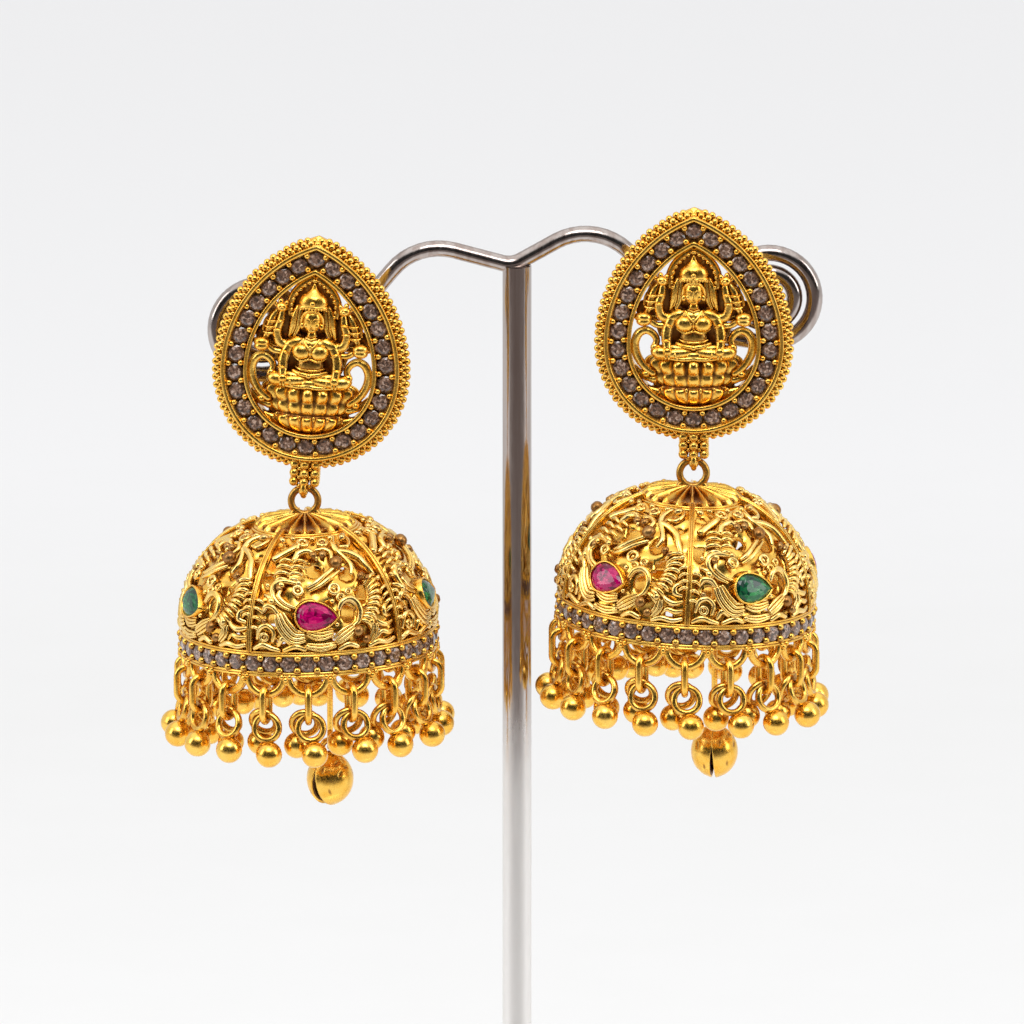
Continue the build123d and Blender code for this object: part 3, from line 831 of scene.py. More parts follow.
def build_tab(side):
    """The granule-covered tab under the stud and the loop that the drop hangs from. Each granule has
    a curl of fine wire on it."""
    work = Casting(on_stud(side))
    levels, spread = np.linspace(2.45, -0.25, 4), 1.05
    for row, level in enumerate(levels):
        last = row == len(levels) - 1
        across = np.array([0.0] if last else [-spread, 0.0, spread])
        centres = xyz(across, level, np.where(np.abs(across) > 0.5, 1.35, 1.62))
        work.add(balls(centres, 0.5, rings=8, points=12))
        for x, y, height in centres:
            work.add(tube(circle(0.36, (x, y, height + 0.3), "xy", 12, 0, 330), 0.09, sides=6))
        if not last:
            work.add(balls(xyz(across[:-1] + 0.52, level - 0.45, 1.45), 0.26, rings=5, points=8))
    for x in (-1.0, 0.0, 1.0):
        work.add(tube([(x, 3.3, 0.75), (x, 0.7, 0.75)], 0.5, 0.62, sides=12))
    loop = circle(0.8, (0, 0, STUD_BACK), "yz", 40)
    work.hoop(loop, 0.3, up=(1, 0, 0), sides=12)
    work.piece(side.node("stud_tab"), side.stand_body)


# The figure's strands on one side, each a list of knots: across, up, height over the back, half
# width. Every strand is mirrored.
LIMBS = (
    # Legs folded over the lotus, thighs and hem
    [(0.7, 11.4, 2.3, 0.4), (1.9, 11.65, 2.35, 0.5), (2.9, 11.45, 1.9, 0.5)],
    [(0.0, 10.75, 2.85, 0.26), (1.0, 10.65, 2.85, 0.24), (2.2, 10.7, 2.6, 0.2)],
    [(1.6, 10.7, 3.0, 0.09), (1.85, 11.1, 3.1, 0.09), (1.75, 11.7, 2.75, 0.08)],
    # Belt and the line under the bust
    [(0.0, 11.85, 2.8, 0.24), (0.9, 11.95, 2.65, 0.24), (1.65, 12.15, 2.2, 0.2)],
    [(0.0, 12.3, 2.68, 0.14), (0.8, 12.35, 2.5, 0.14), (1.4, 12.5, 2.1, 0.12)],
    [(0.1, 13.5, 2.75, 0.11), (0.9, 13.3, 2.75, 0.12), (1.65, 13.7, 2.3, 0.1)],
    # Necklaces
    [(0.0, 14.5, 3.0, 0.11), (0.45, 14.95, 2.75, 0.11), (0.8, 15.5, 2.35, 0.1)],
    [(0.0, 15.45, 2.62, 0.13), (0.5, 15.6, 2.4, 0.12)],
    # Brow, hair line, locks and veil
    [(0.16, 17.62, 3.14, 0.05), (0.42, 17.72, 3.06, 0.06), (0.7, 17.6, 2.84, 0.04)],
    [(0.0, 18.45, 3.0, 0.14), (0.6, 18.3, 2.8, 0.15), (1.0, 17.8, 2.4, 0.14), (1.1, 17.1, 2.2, 0.14)],
    [(1.45, 18.5, 1.6, 0.42), (1.75, 17.7, 1.6, 0.5), (1.95, 16.8, 1.55, 0.48), (2.15, 16.1, 1.5, 0.36),
     (2.3, 15.5, 1.5, 0.2)],
    [(1.2, 18.3, 1.9, 0.26), (1.35, 17.3, 1.9, 0.28), (1.45, 16.4, 1.85, 0.26), (1.75, 15.7, 1.9, 0.16)],
    [(1.55, 18.4, 2.1, 0.08), (1.7, 17.4, 2.1, 0.1), (1.8, 16.5, 2.0, 0.1), (2.0, 15.9, 1.9, 0.08)],
    # Raised arm with its flower, and the outer leaf-like sleeve
    [(1.7, 15.15, 1.8, 0.5), (2.6, 14.7, 1.8, 0.52), (3.3, 15.05, 1.9, 0.5), (3.5, 16.1, 2.0, 0.46),
     (3.2, 17.1, 2.0, 0.42), (3.1, 17.9, 2.0, 0.32)],
    [(3.5, 18.2, 1.6, 0.25), (3.95, 17.5, 1.75, 0.36), (4.25, 16.6, 1.8, 0.4), (4.4, 15.8, 1.8, 0.36),
     (4.7, 15.2, 1.8, 0.28)],
    [(4.2, 17.7, 1.5, 0.14), (4.75, 16.9, 1.6, 0.18), (4.95, 16.0, 1.6, 0.16)],
    [(3.75, 17.0, 2.2, 0.12), (4.2, 16.95, 2.3, 0.14), (4.6, 17.05, 2.0, 0.1)],
    [(3.85, 16.4, 2.25, 0.12), (4.3, 16.35, 2.35, 0.14), (4.75, 16.45, 2.05, 0.1)],
    [(3.95, 15.8, 2.25, 0.12), (4.4, 15.75, 2.35, 0.14), (4.85, 15.85, 2.05, 0.1)],
    # Bud's stalk
    [(4.4, 14.4, 1.9, 0.32), (3.7, 13.95, 1.8, 0.34), (2.9, 13.9, 1.8, 0.34)],
    # Arm resting on the knee
    [(1.85, 15.0, 1.95, 0.56), (2.45, 14.1, 2.05, 0.56), (2.7, 13.2, 2.15, 0.54), (2.7, 12.3, 2.35, 0.48),
     (2.6, 11.65, 2.65, 0.4)],
    # Big scroll from its inner knob round to the lotus, with a fine line on its back
    [(3.9, 11.75, 1.9, 0.36), (3.7, 12.4, 1.85, 0.36), (4.05, 13.05, 1.8, 0.38), (4.75, 13.4, 1.75, 0.42),
     (5.45, 13.05, 1.7, 0.44), (5.85, 12.15, 1.6, 0.44), (5.75, 11.1, 1.55, 0.43), (5.3, 10.15, 1.55, 0.42),
     (4.75, 9.5, 1.6, 0.4), (4.1, 9.0, 1.6, 0.36)],
    [(4.1, 13.4, 2.0, 0.1), (4.85, 13.75, 1.95, 0.11), (5.75, 13.3, 1.85, 0.11), (6.2, 12.2, 1.75, 0.1),
     (6.1, 11.0, 1.7, 0.1), (5.55, 9.9, 1.7, 0.1)],
    [(3.3, 12.9, 1.5, 0.2), (3.6, 13.7, 1.4, 0.22), (4.3, 14.0, 1.3, 0.15)],
    # Ties between the lotus and the frame
    [(4.0, 8.3, 1.3, 0.4), (5.0, 8.6, 1.1, 0.35), (5.9, 9.5, 0.9, 0.25)],
    [(3.6, 7.0, 1.1, 0.4), (4.6, 7.3, 0.9, 0.35), (5.3, 7.7, 0.8, 0.25)],
)
# Rounded masses: across, up, height, half sizes across, up and out, turn, patina with painted shade. Those
# off the middle are mirrored.
MASSES = (
    (0, 12.75, 1.95, 1.35, 1.0, 0.68, 0, 0.5),    # waist
    (0, 11.65, 1.9, 1.9, 0.55, 0.75, 0, 0.1),     # hips
    (0, 11.85, 3.0, 0.28, 0.26, 0.2, 0, 0),       # belt clasp
    (0, 11.0, 2.6, 0.85, 0.5, 0.5, 0, 0),         # hem's middle
    (1.7, 11.2, 2.25, 1.9, 0.66, 0.85, -5, 0),    # thighs and shins
    (3.2, 11.2, 2.0, 1.15, 0.78, 0.9, 8, 0),      # knees
    (0, 14.5, 1.95, 2.0, 1.2, 0.82, 0, 0),        # chest
    (0.9, 14.2, 2.45, 0.95, 0.86, 0.68, 14, 0),   # bust
    (1.75, 14.95, 1.9, 1.2, 0.62, 0.68, -24, 0),  # shoulders
    (0, 14.75, 2.95, 0.2, 0.24, 0.16, 0, 0),      # pendant
    (0, 15.85, 2.0, 0.52, 0.7, 0.5, 0, 0),        # neck
    (0, 17.45, 2.3, 0.98, 1.3, 0.88, 0, -0.4),    # head
    (0, 16.5, 2.55, 0.46, 0.34, 0.42, 0, -0.4),   # chin
    (0.44, 17.02, 2.74, 0.38, 0.34, 0.3, 0, -0.4), # cheeks
    (0.39, 17.38, 3.06, 0.18, 0.08, 0.06, 0, 0),  # eyes
    (0, 16.72, 3.04, 0.22, 0.06, 0.08, 0, 0),     # upper lip
    (0, 16.6, 3.0, 0.17, 0.06, 0.08, 0, 0),       # lower lip
    (0.98, 16.85, 2.4, 0.26, 0.32, 0.24, 0, 0),   # ear drops
    (0, 18.8, 2.0, 1.6, 0.36, 1.02, 0, 0),        # crown's edge
    (0, 19.2, 2.98, 0.26, 0.26, 0.16, 0, 0),      # crown's jewel
    (3.15, 18.5, 2.0, 0.62, 0.5, 0.5, 15, 0),     # flower in the raised hand
    (2.75, 18.85, 1.9, 0.26, 0.36, 0.3, 25, 0),
    (3.3, 19.0, 1.9, 0.28, 0.36, 0.3, -10, 0),
    (3.75, 18.7, 1.8, 0.24, 0.34, 0.3, -40, 0),
    (3.1, 18.45, 2.48, 0.2, 0.2, 0.14, 0, 0),
    (3.45, 16.2, 2.35, 0.46, 0.15, 0.3, 0, 0),    # bangles
    (3.25, 17.1, 2.35, 0.42, 0.14, 0.3, 0, 0),
    (2.45, 14.0, 2.42, 0.5, 0.16, 0.32, 25, 0),
    (2.78, 12.5, 2.65, 0.46, 0.14, 0.32, 0, 0),
    (2.6, 11.45, 2.95, 0.46, 0.4, 0.26, 0, 0),    # hand on the knee
    (2.45, 10.95, 3.0, 0.13, 0.34, 0.14, 0, 0),
    (2.78, 10.95, 2.95, 0.13, 0.34, 0.14, 0, 0),
    (4.95, 14.82, 2.1, 0.82, 0.56, 0.75, 4, 0),   # bud, cleft across its middle
    (4.95, 14.42, 2.1, 0.8, 0.54, 0.74, -4, 0),
    (3.9, 11.7, 2.0, 0.44, 0.44, 0.4, 0, 0),      # scroll's knob
    (4.75, 8.9, 1.6, 0.4, 0.34, 0.34, 0, 0),
    # Ground behind, dark as painted shade
    (0, 18.2, 0.75, 2.6, 3.2, 0.3, 0, 0.7),
    (0, 20.6, 0.8, 1.3, 1.4, 0.3, 0, 0.5),
    (3.3, 16.2, 0.75, 1.7, 2.2, 0.3, 15, 0.75),
    (2.0, 13.2, 0.75, 1.4, 2.2, 0.3, 0, 0.9),
    (4.9, 15.3, 0.7, 0.9, 1.0, 0.25, 0, 0.7),
    (4.1, 8.7, 0.7, 1.3, 0.9, 0.25, 35, 0.8),
    (0, 8.0, 0.75, 4.2, 2.6, 0.3, 0, 0.8),
)
# Half the arch behind the head, from its foot to its top: across, up, height.
HALO = ((2.35, 17.9, 1.4), (2.4, 18.9, 1.4), (1.95, 20.0, 1.4), (1.15, 20.9, 1.4), (0.3, 21.45, 1.4))
# Half the crown's outline, from its edge to its point: how wide, how high.
CROWN = (
    (1.3, 18.6), (1.45, 19.0), (1.42, 19.45), (1.2, 19.85),
    (0.8, 20.15), (0.42, 20.45), (0.2, 20.8), (0.06, 21.1),
)
HEAD_HEIGHT = 2.0
# The lotus is less deep than half its width, and set back into the stud.
LOTUS_LOBES, LOTUS_DEPTH, LOTUS_BACK = 9, 0.72, 0.4
# The lotus from its foot to the seat: level, half width, how deep its lobes are, how old, with painted
# shade in its creases.
LOTUS = (
    (5.35, 1.6, 0.0, 0.3),
    (5.6, 2.5, 0.06, 0.1),
    (6.0, 3.4, 0.16, 0.0),
    (6.5, 4.05, 0.24, 0.0),
    (7.0, 4.35, 0.26, 0.0),
    (7.35, 4.25, 0.2, 0.2),
    (7.55, 3.85, 0.1, 1.0),
    (7.7, 3.95, 0.1, 0.6),
    (8.05, 4.3, 0.16, 0.0),
    (8.5, 4.5, 0.2, 0.0),
    (8.85, 4.4, 0.16, 0.5),
    (9.0, 4.45, 0.2, 0.4),
    (9.25, 4.75, 0.32, 0.0),
    (9.7, 5.0, 0.38, 0.0),
    (10.15, 4.9, 0.38, 0.0),
    (10.5, 4.45, 0.32, 0.1),
    (10.75, 3.7, 0.2, 0.4),
    (10.8, 2.8, 0.0, 0.9),
    (10.65, 2.0, 0.0, 0.9),
)


def lotus_seat():
    """Half an oval bowl with a flat back. Its width shrinks between lobes by their depth times one
    less the height of a half circle standing on each lobe."""
    level, wide, depth, age_and_shade = curve(LOTUS, 3)[::-1, :, None].transpose(1, 0, 2)
    front = np.linspace(0, pi, LOTUS_LOBES * 10 + 1)
    angle = np.concatenate([front, np.linspace(pi, 2 * pi, 6)[1:-1]])
    lobe = (angle * LOTUS_LOBES / pi) % 1
    arch = np.where(angle < pi, np.sqrt(1 - (0.97 * (2 * lobe - 1)) ** 2), 1.0)
    width = wide * (1 - depth * (1 - arch))
    out = np.maximum(width * LOTUS_DEPTH * np.sin(angle) - LOTUS_BACK, 0.1)
    rows = xyz(width * np.cos(angle), level, out)
    # Darker between the lobes: painted shade in the creases.
    return rows[None], np.clip(age_and_shade + depth * 6 * (1 - arch) ** 2, 0, 1)[None]


def build_figure(side):
    """A calm seated figure on a lotus, between two scrolls, in cast relief."""
    stud = on_stud(side)
    work = Casting(stud)
    rows, age_and_shade = lotus_seat()
    work.add(rows, patina=age_and_shade)
    # Points that stand between the lotus's two tiers
    seam = np.radians(np.linspace(-70, 70, LOTUS_LOBES - 1))
    spikes = xyz(4.1 * np.sin(seam), 7.35, 2.95 * np.cos(seam) - LOTUS_BACK)
    work.add(balls(spikes, (0.14, 0.3, 0.14), rings=6, points=8))
    for knots in LIMBS:
        for mirror in (1, -1):
            line = curve(np.array(knots) * (mirror, 1, 1, 1), 5)
            # Limbs are painted shaded on their lower half and bright on top.
            work.add(tube(line[:, :3], line[:, 3], line[:, 3] * 0.95, sides=10), patina=under(10))
    for x, up, height, rx, ry, rz, turn, age_and_shade in MASSES:
        for mirror in (1, -1) if x else (1,):
            shape = balls([(mirror * x, up, height)], [(rx, ry, rz)], mirror * turn, 10, 16)
            # Masses are painted shaded at their foot, and the ground behind dark, as painted shade.
            work.add(shape, patina=sunk(10, 0.8, age_and_shade))
    nose = curve([(0, 17.6, 3.1, 0.07), (0, 17.2, 3.2, 0.1), (0, 16.98, 3.24, 0.13)], 5)
    work.add(tube(nose[:, :3], nose[:, 3], sides=10))
    # The crown, with beads along its edge
    edge = np.radians(np.linspace(-62, 62, 11))
    row = xyz(1.5 * np.sin(edge), 18.65, HEAD_HEIGHT + 0.95 * np.cos(edge))
    work.add(balls(row, 0.14, rings=6, points=8))
    crown = lathe(curve(CROWN, 3), 28)
    work.add(crown, place=lambda p: stud(xyz(p[..., 0], p[..., 2], HEAD_HEIGHT - 0.68 * p[..., 1])))
    for mirror in (1, -1):
        halo = curve(np.array(HALO) * (mirror, 1, 1), 4)
        work.add(tube(halo, 0.42, 0.36), patina=0.15)
        work.add(balls(halo[::2] + (-0.2 * mirror, -0.1, 0.42), 0.2, rings=6, points=10))
    work.piece(side.node("figure"), side.stand_body)


# ---- Dome ----

def build_cap(side):
    """The fluted cap: a shallow cone that steepens to a collar, with raised spokes and a pit between
    each pair on the collar, and the ring that it hangs by."""
    work = Casting(in_dome(side))
    segments, steps, thick = CAP_WIRES * 12, 26, 0.75
    top, collar, fall, steepness = 0.7, 4.4, 0.58, 0.75
    spoke_half, spoke_rise, valley_depth = 0.15, 0.3, 0.5
    pit_line, pit_round, pit_out, pit_depth = 4.68, 0.3, 0.17, 0.25
    hollow_line, hollow_size = 4.5, 0.26
    step = 2 * pi / CAP_WIRES
    angle = np.linspace(0, 2 * pi, segments, endpoint=False)
    share = np.linspace(0, 1, steps)[::-1, None]
    radius = top + (CAP_RADIUS - 0.1 - top) * share
    steep = steepness * np.clip(radius - collar, 0, None)
    cone = CAP_APEX - fall * np.clip(radius / collar, 0, 1) ** 1.25 - steep
    wave = (angle * CAP_WIRES / (2 * pi)) % 1
    away = np.minimum(wave, 1 - wave) * step
    ridge = np.sqrt(np.clip(1 - (away * radius / spoke_half) ** 2, 0, 1))
    across = (wave - 0.5) * step * radius
    pit = np.exp(-((across / pit_round) ** 2 + ((radius - pit_line) / pit_out) ** 2) ** 2)
    valley = valley_depth * np.clip(1.25 - share, 0, 1) * np.clip(share * 8, 0, 1)
    level = cone + spoke_rise * ridge - pit_depth * pit - valley * (1 - ridge)
    outer = xyz(radius * np.cos(angle), radius * np.sin(angle), level)
    inner = xyz(outer[::-1, :, 0], outer[::-1, :, 1], cone[::-1] - thick)
    # The valleys between the spokes are painted dark as shade, darkest near the apex, and the pits darker
    # still.
    near = np.clip(1.45 - share * 1.3, 0.25, 1) * (1 - ridge)
    age_and_shade = np.concatenate([np.clip(near + pit, 0, 1), np.full(near.shape, 0.2)])
    work.add(np.concatenate([outer, inner])[None], loop=True, patina=age_and_shade[None])
    work.add(balls([(0, 0, CAP_APEX - 0.1)], [(0.85, 0.85, 0.3)], points=20), patina=0.6)
    # Dark hollows on the collar, one between each pair of spokes: balls painted fully dark, as painted
    # shade
    between = (np.arange(CAP_WIRES) + 0.5) * step
    low = CAP_APEX - fall * (hollow_line / collar) ** 1.25 - 0.16
    row = xyz(hollow_line * np.cos(between), hollow_line * np.sin(between), low)
    work.add(balls(row, hollow_size, rings=6, points=10), patina=1.0)
    # Two rims, and the ring on its two feet
    for reach, height in ((CAP_RADIUS - 0.04, CAP_EDGE - 0.16), (CAP_RADIUS + 0.2, CAP_EDGE - 0.34)):
        work.hoop(circle(reach, (0, 0, height), "xy", 120), 0.15)
    work.hoop(circle(1.34, (0, 0, -1.34), count=56), 0.36, up=(0, 1, 0), sides=16, patina=0.5)
    for x in (-1, 1):
        foot = curve([(x * 0.95, 0, -2.2, 0.34), (x * 1.15, 0, -2.6, 0.42), (x * 1.5, 0, -2.95, 0.3)], 5)
        work.add(tube(foot[:, :3], foot[:, 3], up=(0, 1, 0), sides=12), patina=0.35)
    work.piece(side.node("dome_cap"), side.drop_body, frame_gold())


def build_ribs(side):
    """The bars between the panels, from the cap's edge to the band, each with two fine edges."""
    work = Casting()
    down = np.linspace(-0.1, 13.6, 30)
    half, high, edge, edge_half, edge_high = 0.24, 0.4, 0.2, 0.08, 0.12
    for index in range(PANELS):
        place = on_panel(side, index - 0.5)
        # The bar is darkened between its two fine edges: painted shade.
        work.add(tube(xyz(0, -down, 0.02), half, high, sides=12), patina=0.45, place=place)
        for x in (-edge, edge):
            work.add(tube(xyz(x, -down, 0.33), edge_half, edge_high, sides=6), place=place)
    work.piece(side.node("dome_ribs"), side.drop_body, frame_gold())


# One panel's openwork, in distances across and down its flattened wall.
OPENINGS = (  # across, down, half width, half length, turn
    (-0.65, 5.0, 0.75, 0.95, 25), (2.75, 5.6, 0.6, 1.0, -20), (4.15, 8.2, 0.6, 1.1, 8),
    (2.4, 9.95, 0.75, 0.9, 0), (-3.2, 1.75, 0.55, 0.4, 0), (-5.6, 6.3, 0.5, 0.9, 15),
    (1.1, 12.3, 0.6, 0.45, 0), (4.05, 10.25, 0.45, 0.7, 0), (-5.4, 10.4, 0.7, 0.65, 20),
    (6.0, 12.4, 0.5, 0.35, 0), (4.0, 3.5, 0.35, 0.3, -40), (-4.7, 12.6, 0.5, 0.3, 0),
)
STRANDS = (
    # Straps that join the panel to its ribs
    [(-4.5, 4.0, 0.2, 0.3), (-3.2, 3.1, 0.25, 0.27), (-2.0, 2.3, 0.25, 0.3), (-1.6, 1.4, 0.1, 0.2)],
    [(1.9, 3.2, 0.3, 0.24), (3.0, 3.6, 0.35, 0.25), (4.1, 4.4, 0.35, 0.25), (4.8, 5.4, 0.3, 0.25),
     (5.5, 6.4, 0.2, 0.2)],
    [(1.8, 1.2, 0.2, 0.22), (1.6, 2.2, 0.3, 0.26), (1.9, 3.2, 0.3, 0.24), (2.6, 4.2, 0.3, 0.2),
     (3.1, 5.2, 0.3, 0.26), (3.0, 6.0, 0.25, 0.2)],
    [(2.9, 1.0, 0.1, 0.2), (3.4, 1.9, 0.2, 0.22), (3.2, 2.7, 0.2, 0.22), (2.4, 2.6, 0.2, 0.16)],
    # Brow over the stack, with its two granules
    [(-2.5, 4.0, 0.25, 0.24), (-1.9, 3.2, 0.35, 0.26), (-0.9, 3.0, 0.4, 0.26), (-0.3, 3.9, 0.3, 0.2)],
    [(-0.2, 2.8, 0.2, 0.18), (0.6, 2.8, 0.3, 0.22), (1.2, 3.3, 0.3, 0.2), (1.2, 4.0, 0.3, 0.2)],
    # Bud's two-stranded stem
    [(1.2, 5.2, 0.35, 0.2), (0.2, 6.0, 0.4, 0.22), (-0.7, 6.7, 0.35, 0.22), (-1.5, 7.1, 0.2, 0.14)],
    [(1.7, 5.6, 0.3, 0.16), (0.7, 6.3, 0.4, 0.22), (-0.3, 7.0, 0.35, 0.2), (-1.4, 7.5, 0.2, 0.12)],
    # Head's curved neck strands, left of the gem
    [(-2.6, 6.7, 0.3, 0.2), (-3.9, 6.5, 0.35, 0.26), (-4.9, 7.0, 0.35, 0.28), (-5.1, 8.0, 0.3, 0.25),
     (-4.5, 8.9, 0.3, 0.22), (-3.6, 9.4, 0.25, 0.16)],
    [(-4.3, 7.5, 0.4, 0.16), (-4.5, 8.1, 0.45, 0.19), (-3.9, 8.8, 0.45, 0.19), (-3.0, 9.2, 0.3, 0.14)],
    # Hook at the gem's tip
    [(1.3, 9.5, 0.35, 0.2), (1.7, 8.8, 0.45, 0.26), (2.5, 8.6, 0.45, 0.28), (3.2, 9.1, 0.4, 0.28),
     (3.5, 10.0, 0.4, 0.27), (3.2, 10.9, 0.35, 0.24), (2.5, 11.4, 0.3, 0.18)],
    # Small curls at the sides and top
    [(-6.4, 9.6, 0.1, 0.2), (-5.9, 9.1, 0.3, 0.26), (-5.2, 9.2, 0.35, 0.26), (-4.8, 9.8, 0.3, 0.2)],
    [(-5.9, 8.0, 0.1, 0.2), (-5.4, 8.3, 0.3, 0.26), (-5.0, 8.8, 0.25, 0.16)],
    [(-7.1, 12.3, 0.1, 0.2), (-6.7, 11.3, 0.3, 0.24), (-5.9, 11.0, 0.35, 0.24), (-5.3, 11.6, 0.3, 0.22),
     (-5.5, 12.5, 0.2, 0.18)],
    [(-4.9, 12.9, 0.1, 0.2), (-4.4, 12.2, 0.25, 0.26), (-3.6, 12.9, 0.1, 0.16)],
    [(6.9, 9.6, 0.1, 0.18), (6.2, 9.9, 0.3, 0.24), (6.3, 10.6, 0.3, 0.24), (7.0, 10.8, 0.1, 0.18)],
    [(7.2, 11.4, 0.1, 0.18), (6.4, 11.6, 0.3, 0.26), (5.6, 11.3, 0.3, 0.22), (5.2, 10.9, 0.2, 0.16)],
    [(7.3, 12.3, 0.1, 0.18), (6.6, 12.4, 0.3, 0.24), (5.8, 12.2, 0.3, 0.2), (5.3, 12.7, 0.1, 0.16)],
    # Waves along the band
    [(-7.4, 13.3, 0.2, 0.22), (-6.5, 12.9, 0.3, 0.26), (-5.6, 13.2, 0.3, 0.24), (-4.9, 13.4, 0.2, 0.2)],
    [(-4.3, 13.4, 0.2, 0.22), (-3.2, 13.0, 0.3, 0.26), (-2.3, 13.3, 0.3, 0.22)],
    [(1.2, 13.4, 0.2, 0.22), (2.1, 13.0, 0.3, 0.26), (3.0, 13.3, 0.3, 0.24)],
    [(4.4, 13.4, 0.2, 0.22), (5.3, 13.1, 0.3, 0.26), (6.4, 13.3, 0.3, 0.24), (7.3, 13.1, 0.2, 0.2)],
)
ROLLS = (  # bundles of fine strands side by side: knots of (across, down), strands, whole width
    ([(-4.6, 9.9), (-4.2, 11.0), (-3.3, 12.0), (-2.3, 12.0)], 4, 1.7),
    ([(-1.9, 11.6), (-0.8, 11.9), (0.5, 11.7)], 4, 1.25),
    ([(0.8, 12.6), (1.7, 12.0), (2.7, 11.4)], 4, 1.3),
    ([(-2.0, 12.95), (-0.7, 13.15), (0.7, 12.95)], 3, 0.85),
    ([(4.4, 12.9), (4.9, 12.2), (5.0, 11.4)], 3, 0.9),
)
RIB_ROWS = (  # short cross ribs set along a line: knots, count, half length, half thickness
    ([(4.9, 6.7), (5.35, 7.6), (5.4, 8.6), (5.15, 9.6), (4.7, 10.5), (4.2, 11.1)], 10, 0.62, 0.2),
    ([(6.35, 8.0), (6.75, 9.0), (7.0, 10.0)], 4, 0.4, 0.17),
    ([(-6.4, 8.6), (-6.9, 9.8), (-7.2, 11.2)], 4, 0.4, 0.17),
)
SCALES = (  # feather scales, overlapping downwards: across, down, half width, half height
    (-3.3, 4.35, 0.75, 0.36), (-2.0, 4.4, 0.65, 0.34), (-3.6, 5.05, 0.85, 0.38), (-2.3, 5.1, 0.7, 0.36),
    (-3.9, 5.8, 0.85, 0.38), (-2.6, 5.85, 0.7, 0.36), (-4.0, 6.5, 0.8, 0.36), (-2.9, 6.5, 0.6, 0.34),
)
RINGS = (  # ring and dot: across, down, ring radius, wire
    (1.0, 7.5, 0.5, 0.17), (-2.55, 7.5, 0.44, 0.16), (1.55, 8.4, 0.34, 0.14), (-1.35, 1.9, 0.46, 0.17),
    (0.55, 2.0, 0.44, 0.17), (-6.3, 12.15, 0.36, 0.14), (2.4, 7.9, 0.3, 0.13),
)
BEADS = (  # granules: across, down, radius, how old
    (-0.55, 3.6, 0.4, 0.65), (0.35, 3.6, 0.4, 0.65), (1.5, 4.75, 0.66, 0.75), (3.1, 11.8, 0.55, 0.7),
    (4.6, 11.1, 0.4, 0.3), (-4.4, 7.3, 0.35, 0.65), (2.75, 1.5, 0.42, 0.4), (-3.3, 1.5, 0.35, 0.2),
    (3.95, 6.4, 0.38, 0.7), (4.6, 6.8, 0.36, 0.7), (-2.4, 6.75, 0.36, 0.3), (-4.1, 6.9, 0.33, 0.0),
    (0.7, 8.7, 0.28, 0.0), (-0.3, 1.25, 0.3, 0.2), (1.5, 1.3, 0.3, 0.0), (-2.2, 1.2, 0.3, 0.3),
    (-5.3, 8.6, 0.36, 0.0), (-6.2, 10.6, 0.3, 0.65), (3.9, 12.7, 0.45, 0.7), (-2.0, 13.0, 0.3, 0.2),
    (0.3, 13.0, 0.3, 0.2), (5.9, 7.0, 0.3, 0.0), (-5.5, 7.0, 0.28, 0.0), (1.0, 11.0, 0.26, 0.0),
    (0.5, 2.1, 0.34, 0.65),
)


def clear_of_openings(x, down):
    """Distance, about, from the nearest opening's edge (less than nothing inside it) and the way
    out from it. An opening is an oval, and distance is its own radius there less one, times its
    mean half size."""
    best = np.full(x.shape, 9.0)
    out = np.zeros((*x.shape, 2))
    for cx, cd, wide, tall, turn in OPENINGS:
        c, s = cos(radians(turn)), sin(radians(turn))
        px, pd = (x - cx) * c + (down - cd) * s, (down - cd) * c - (x - cx) * s
        reach = np.sqrt((px / wide) ** 2 + (pd / tall) ** 2) + 1e-6
        away = (reach - 1) * (wide + tall) / 2
        gx, gd = px / wide**2, pd / tall**2
        way = unit(np.stack([gx * c - gd * s, gx * s + gd * c], -1))
        nearer = away < best
        best = np.where(nearer, away, best)
        out = np.where(nearer[..., None], way, out)
    return best, out


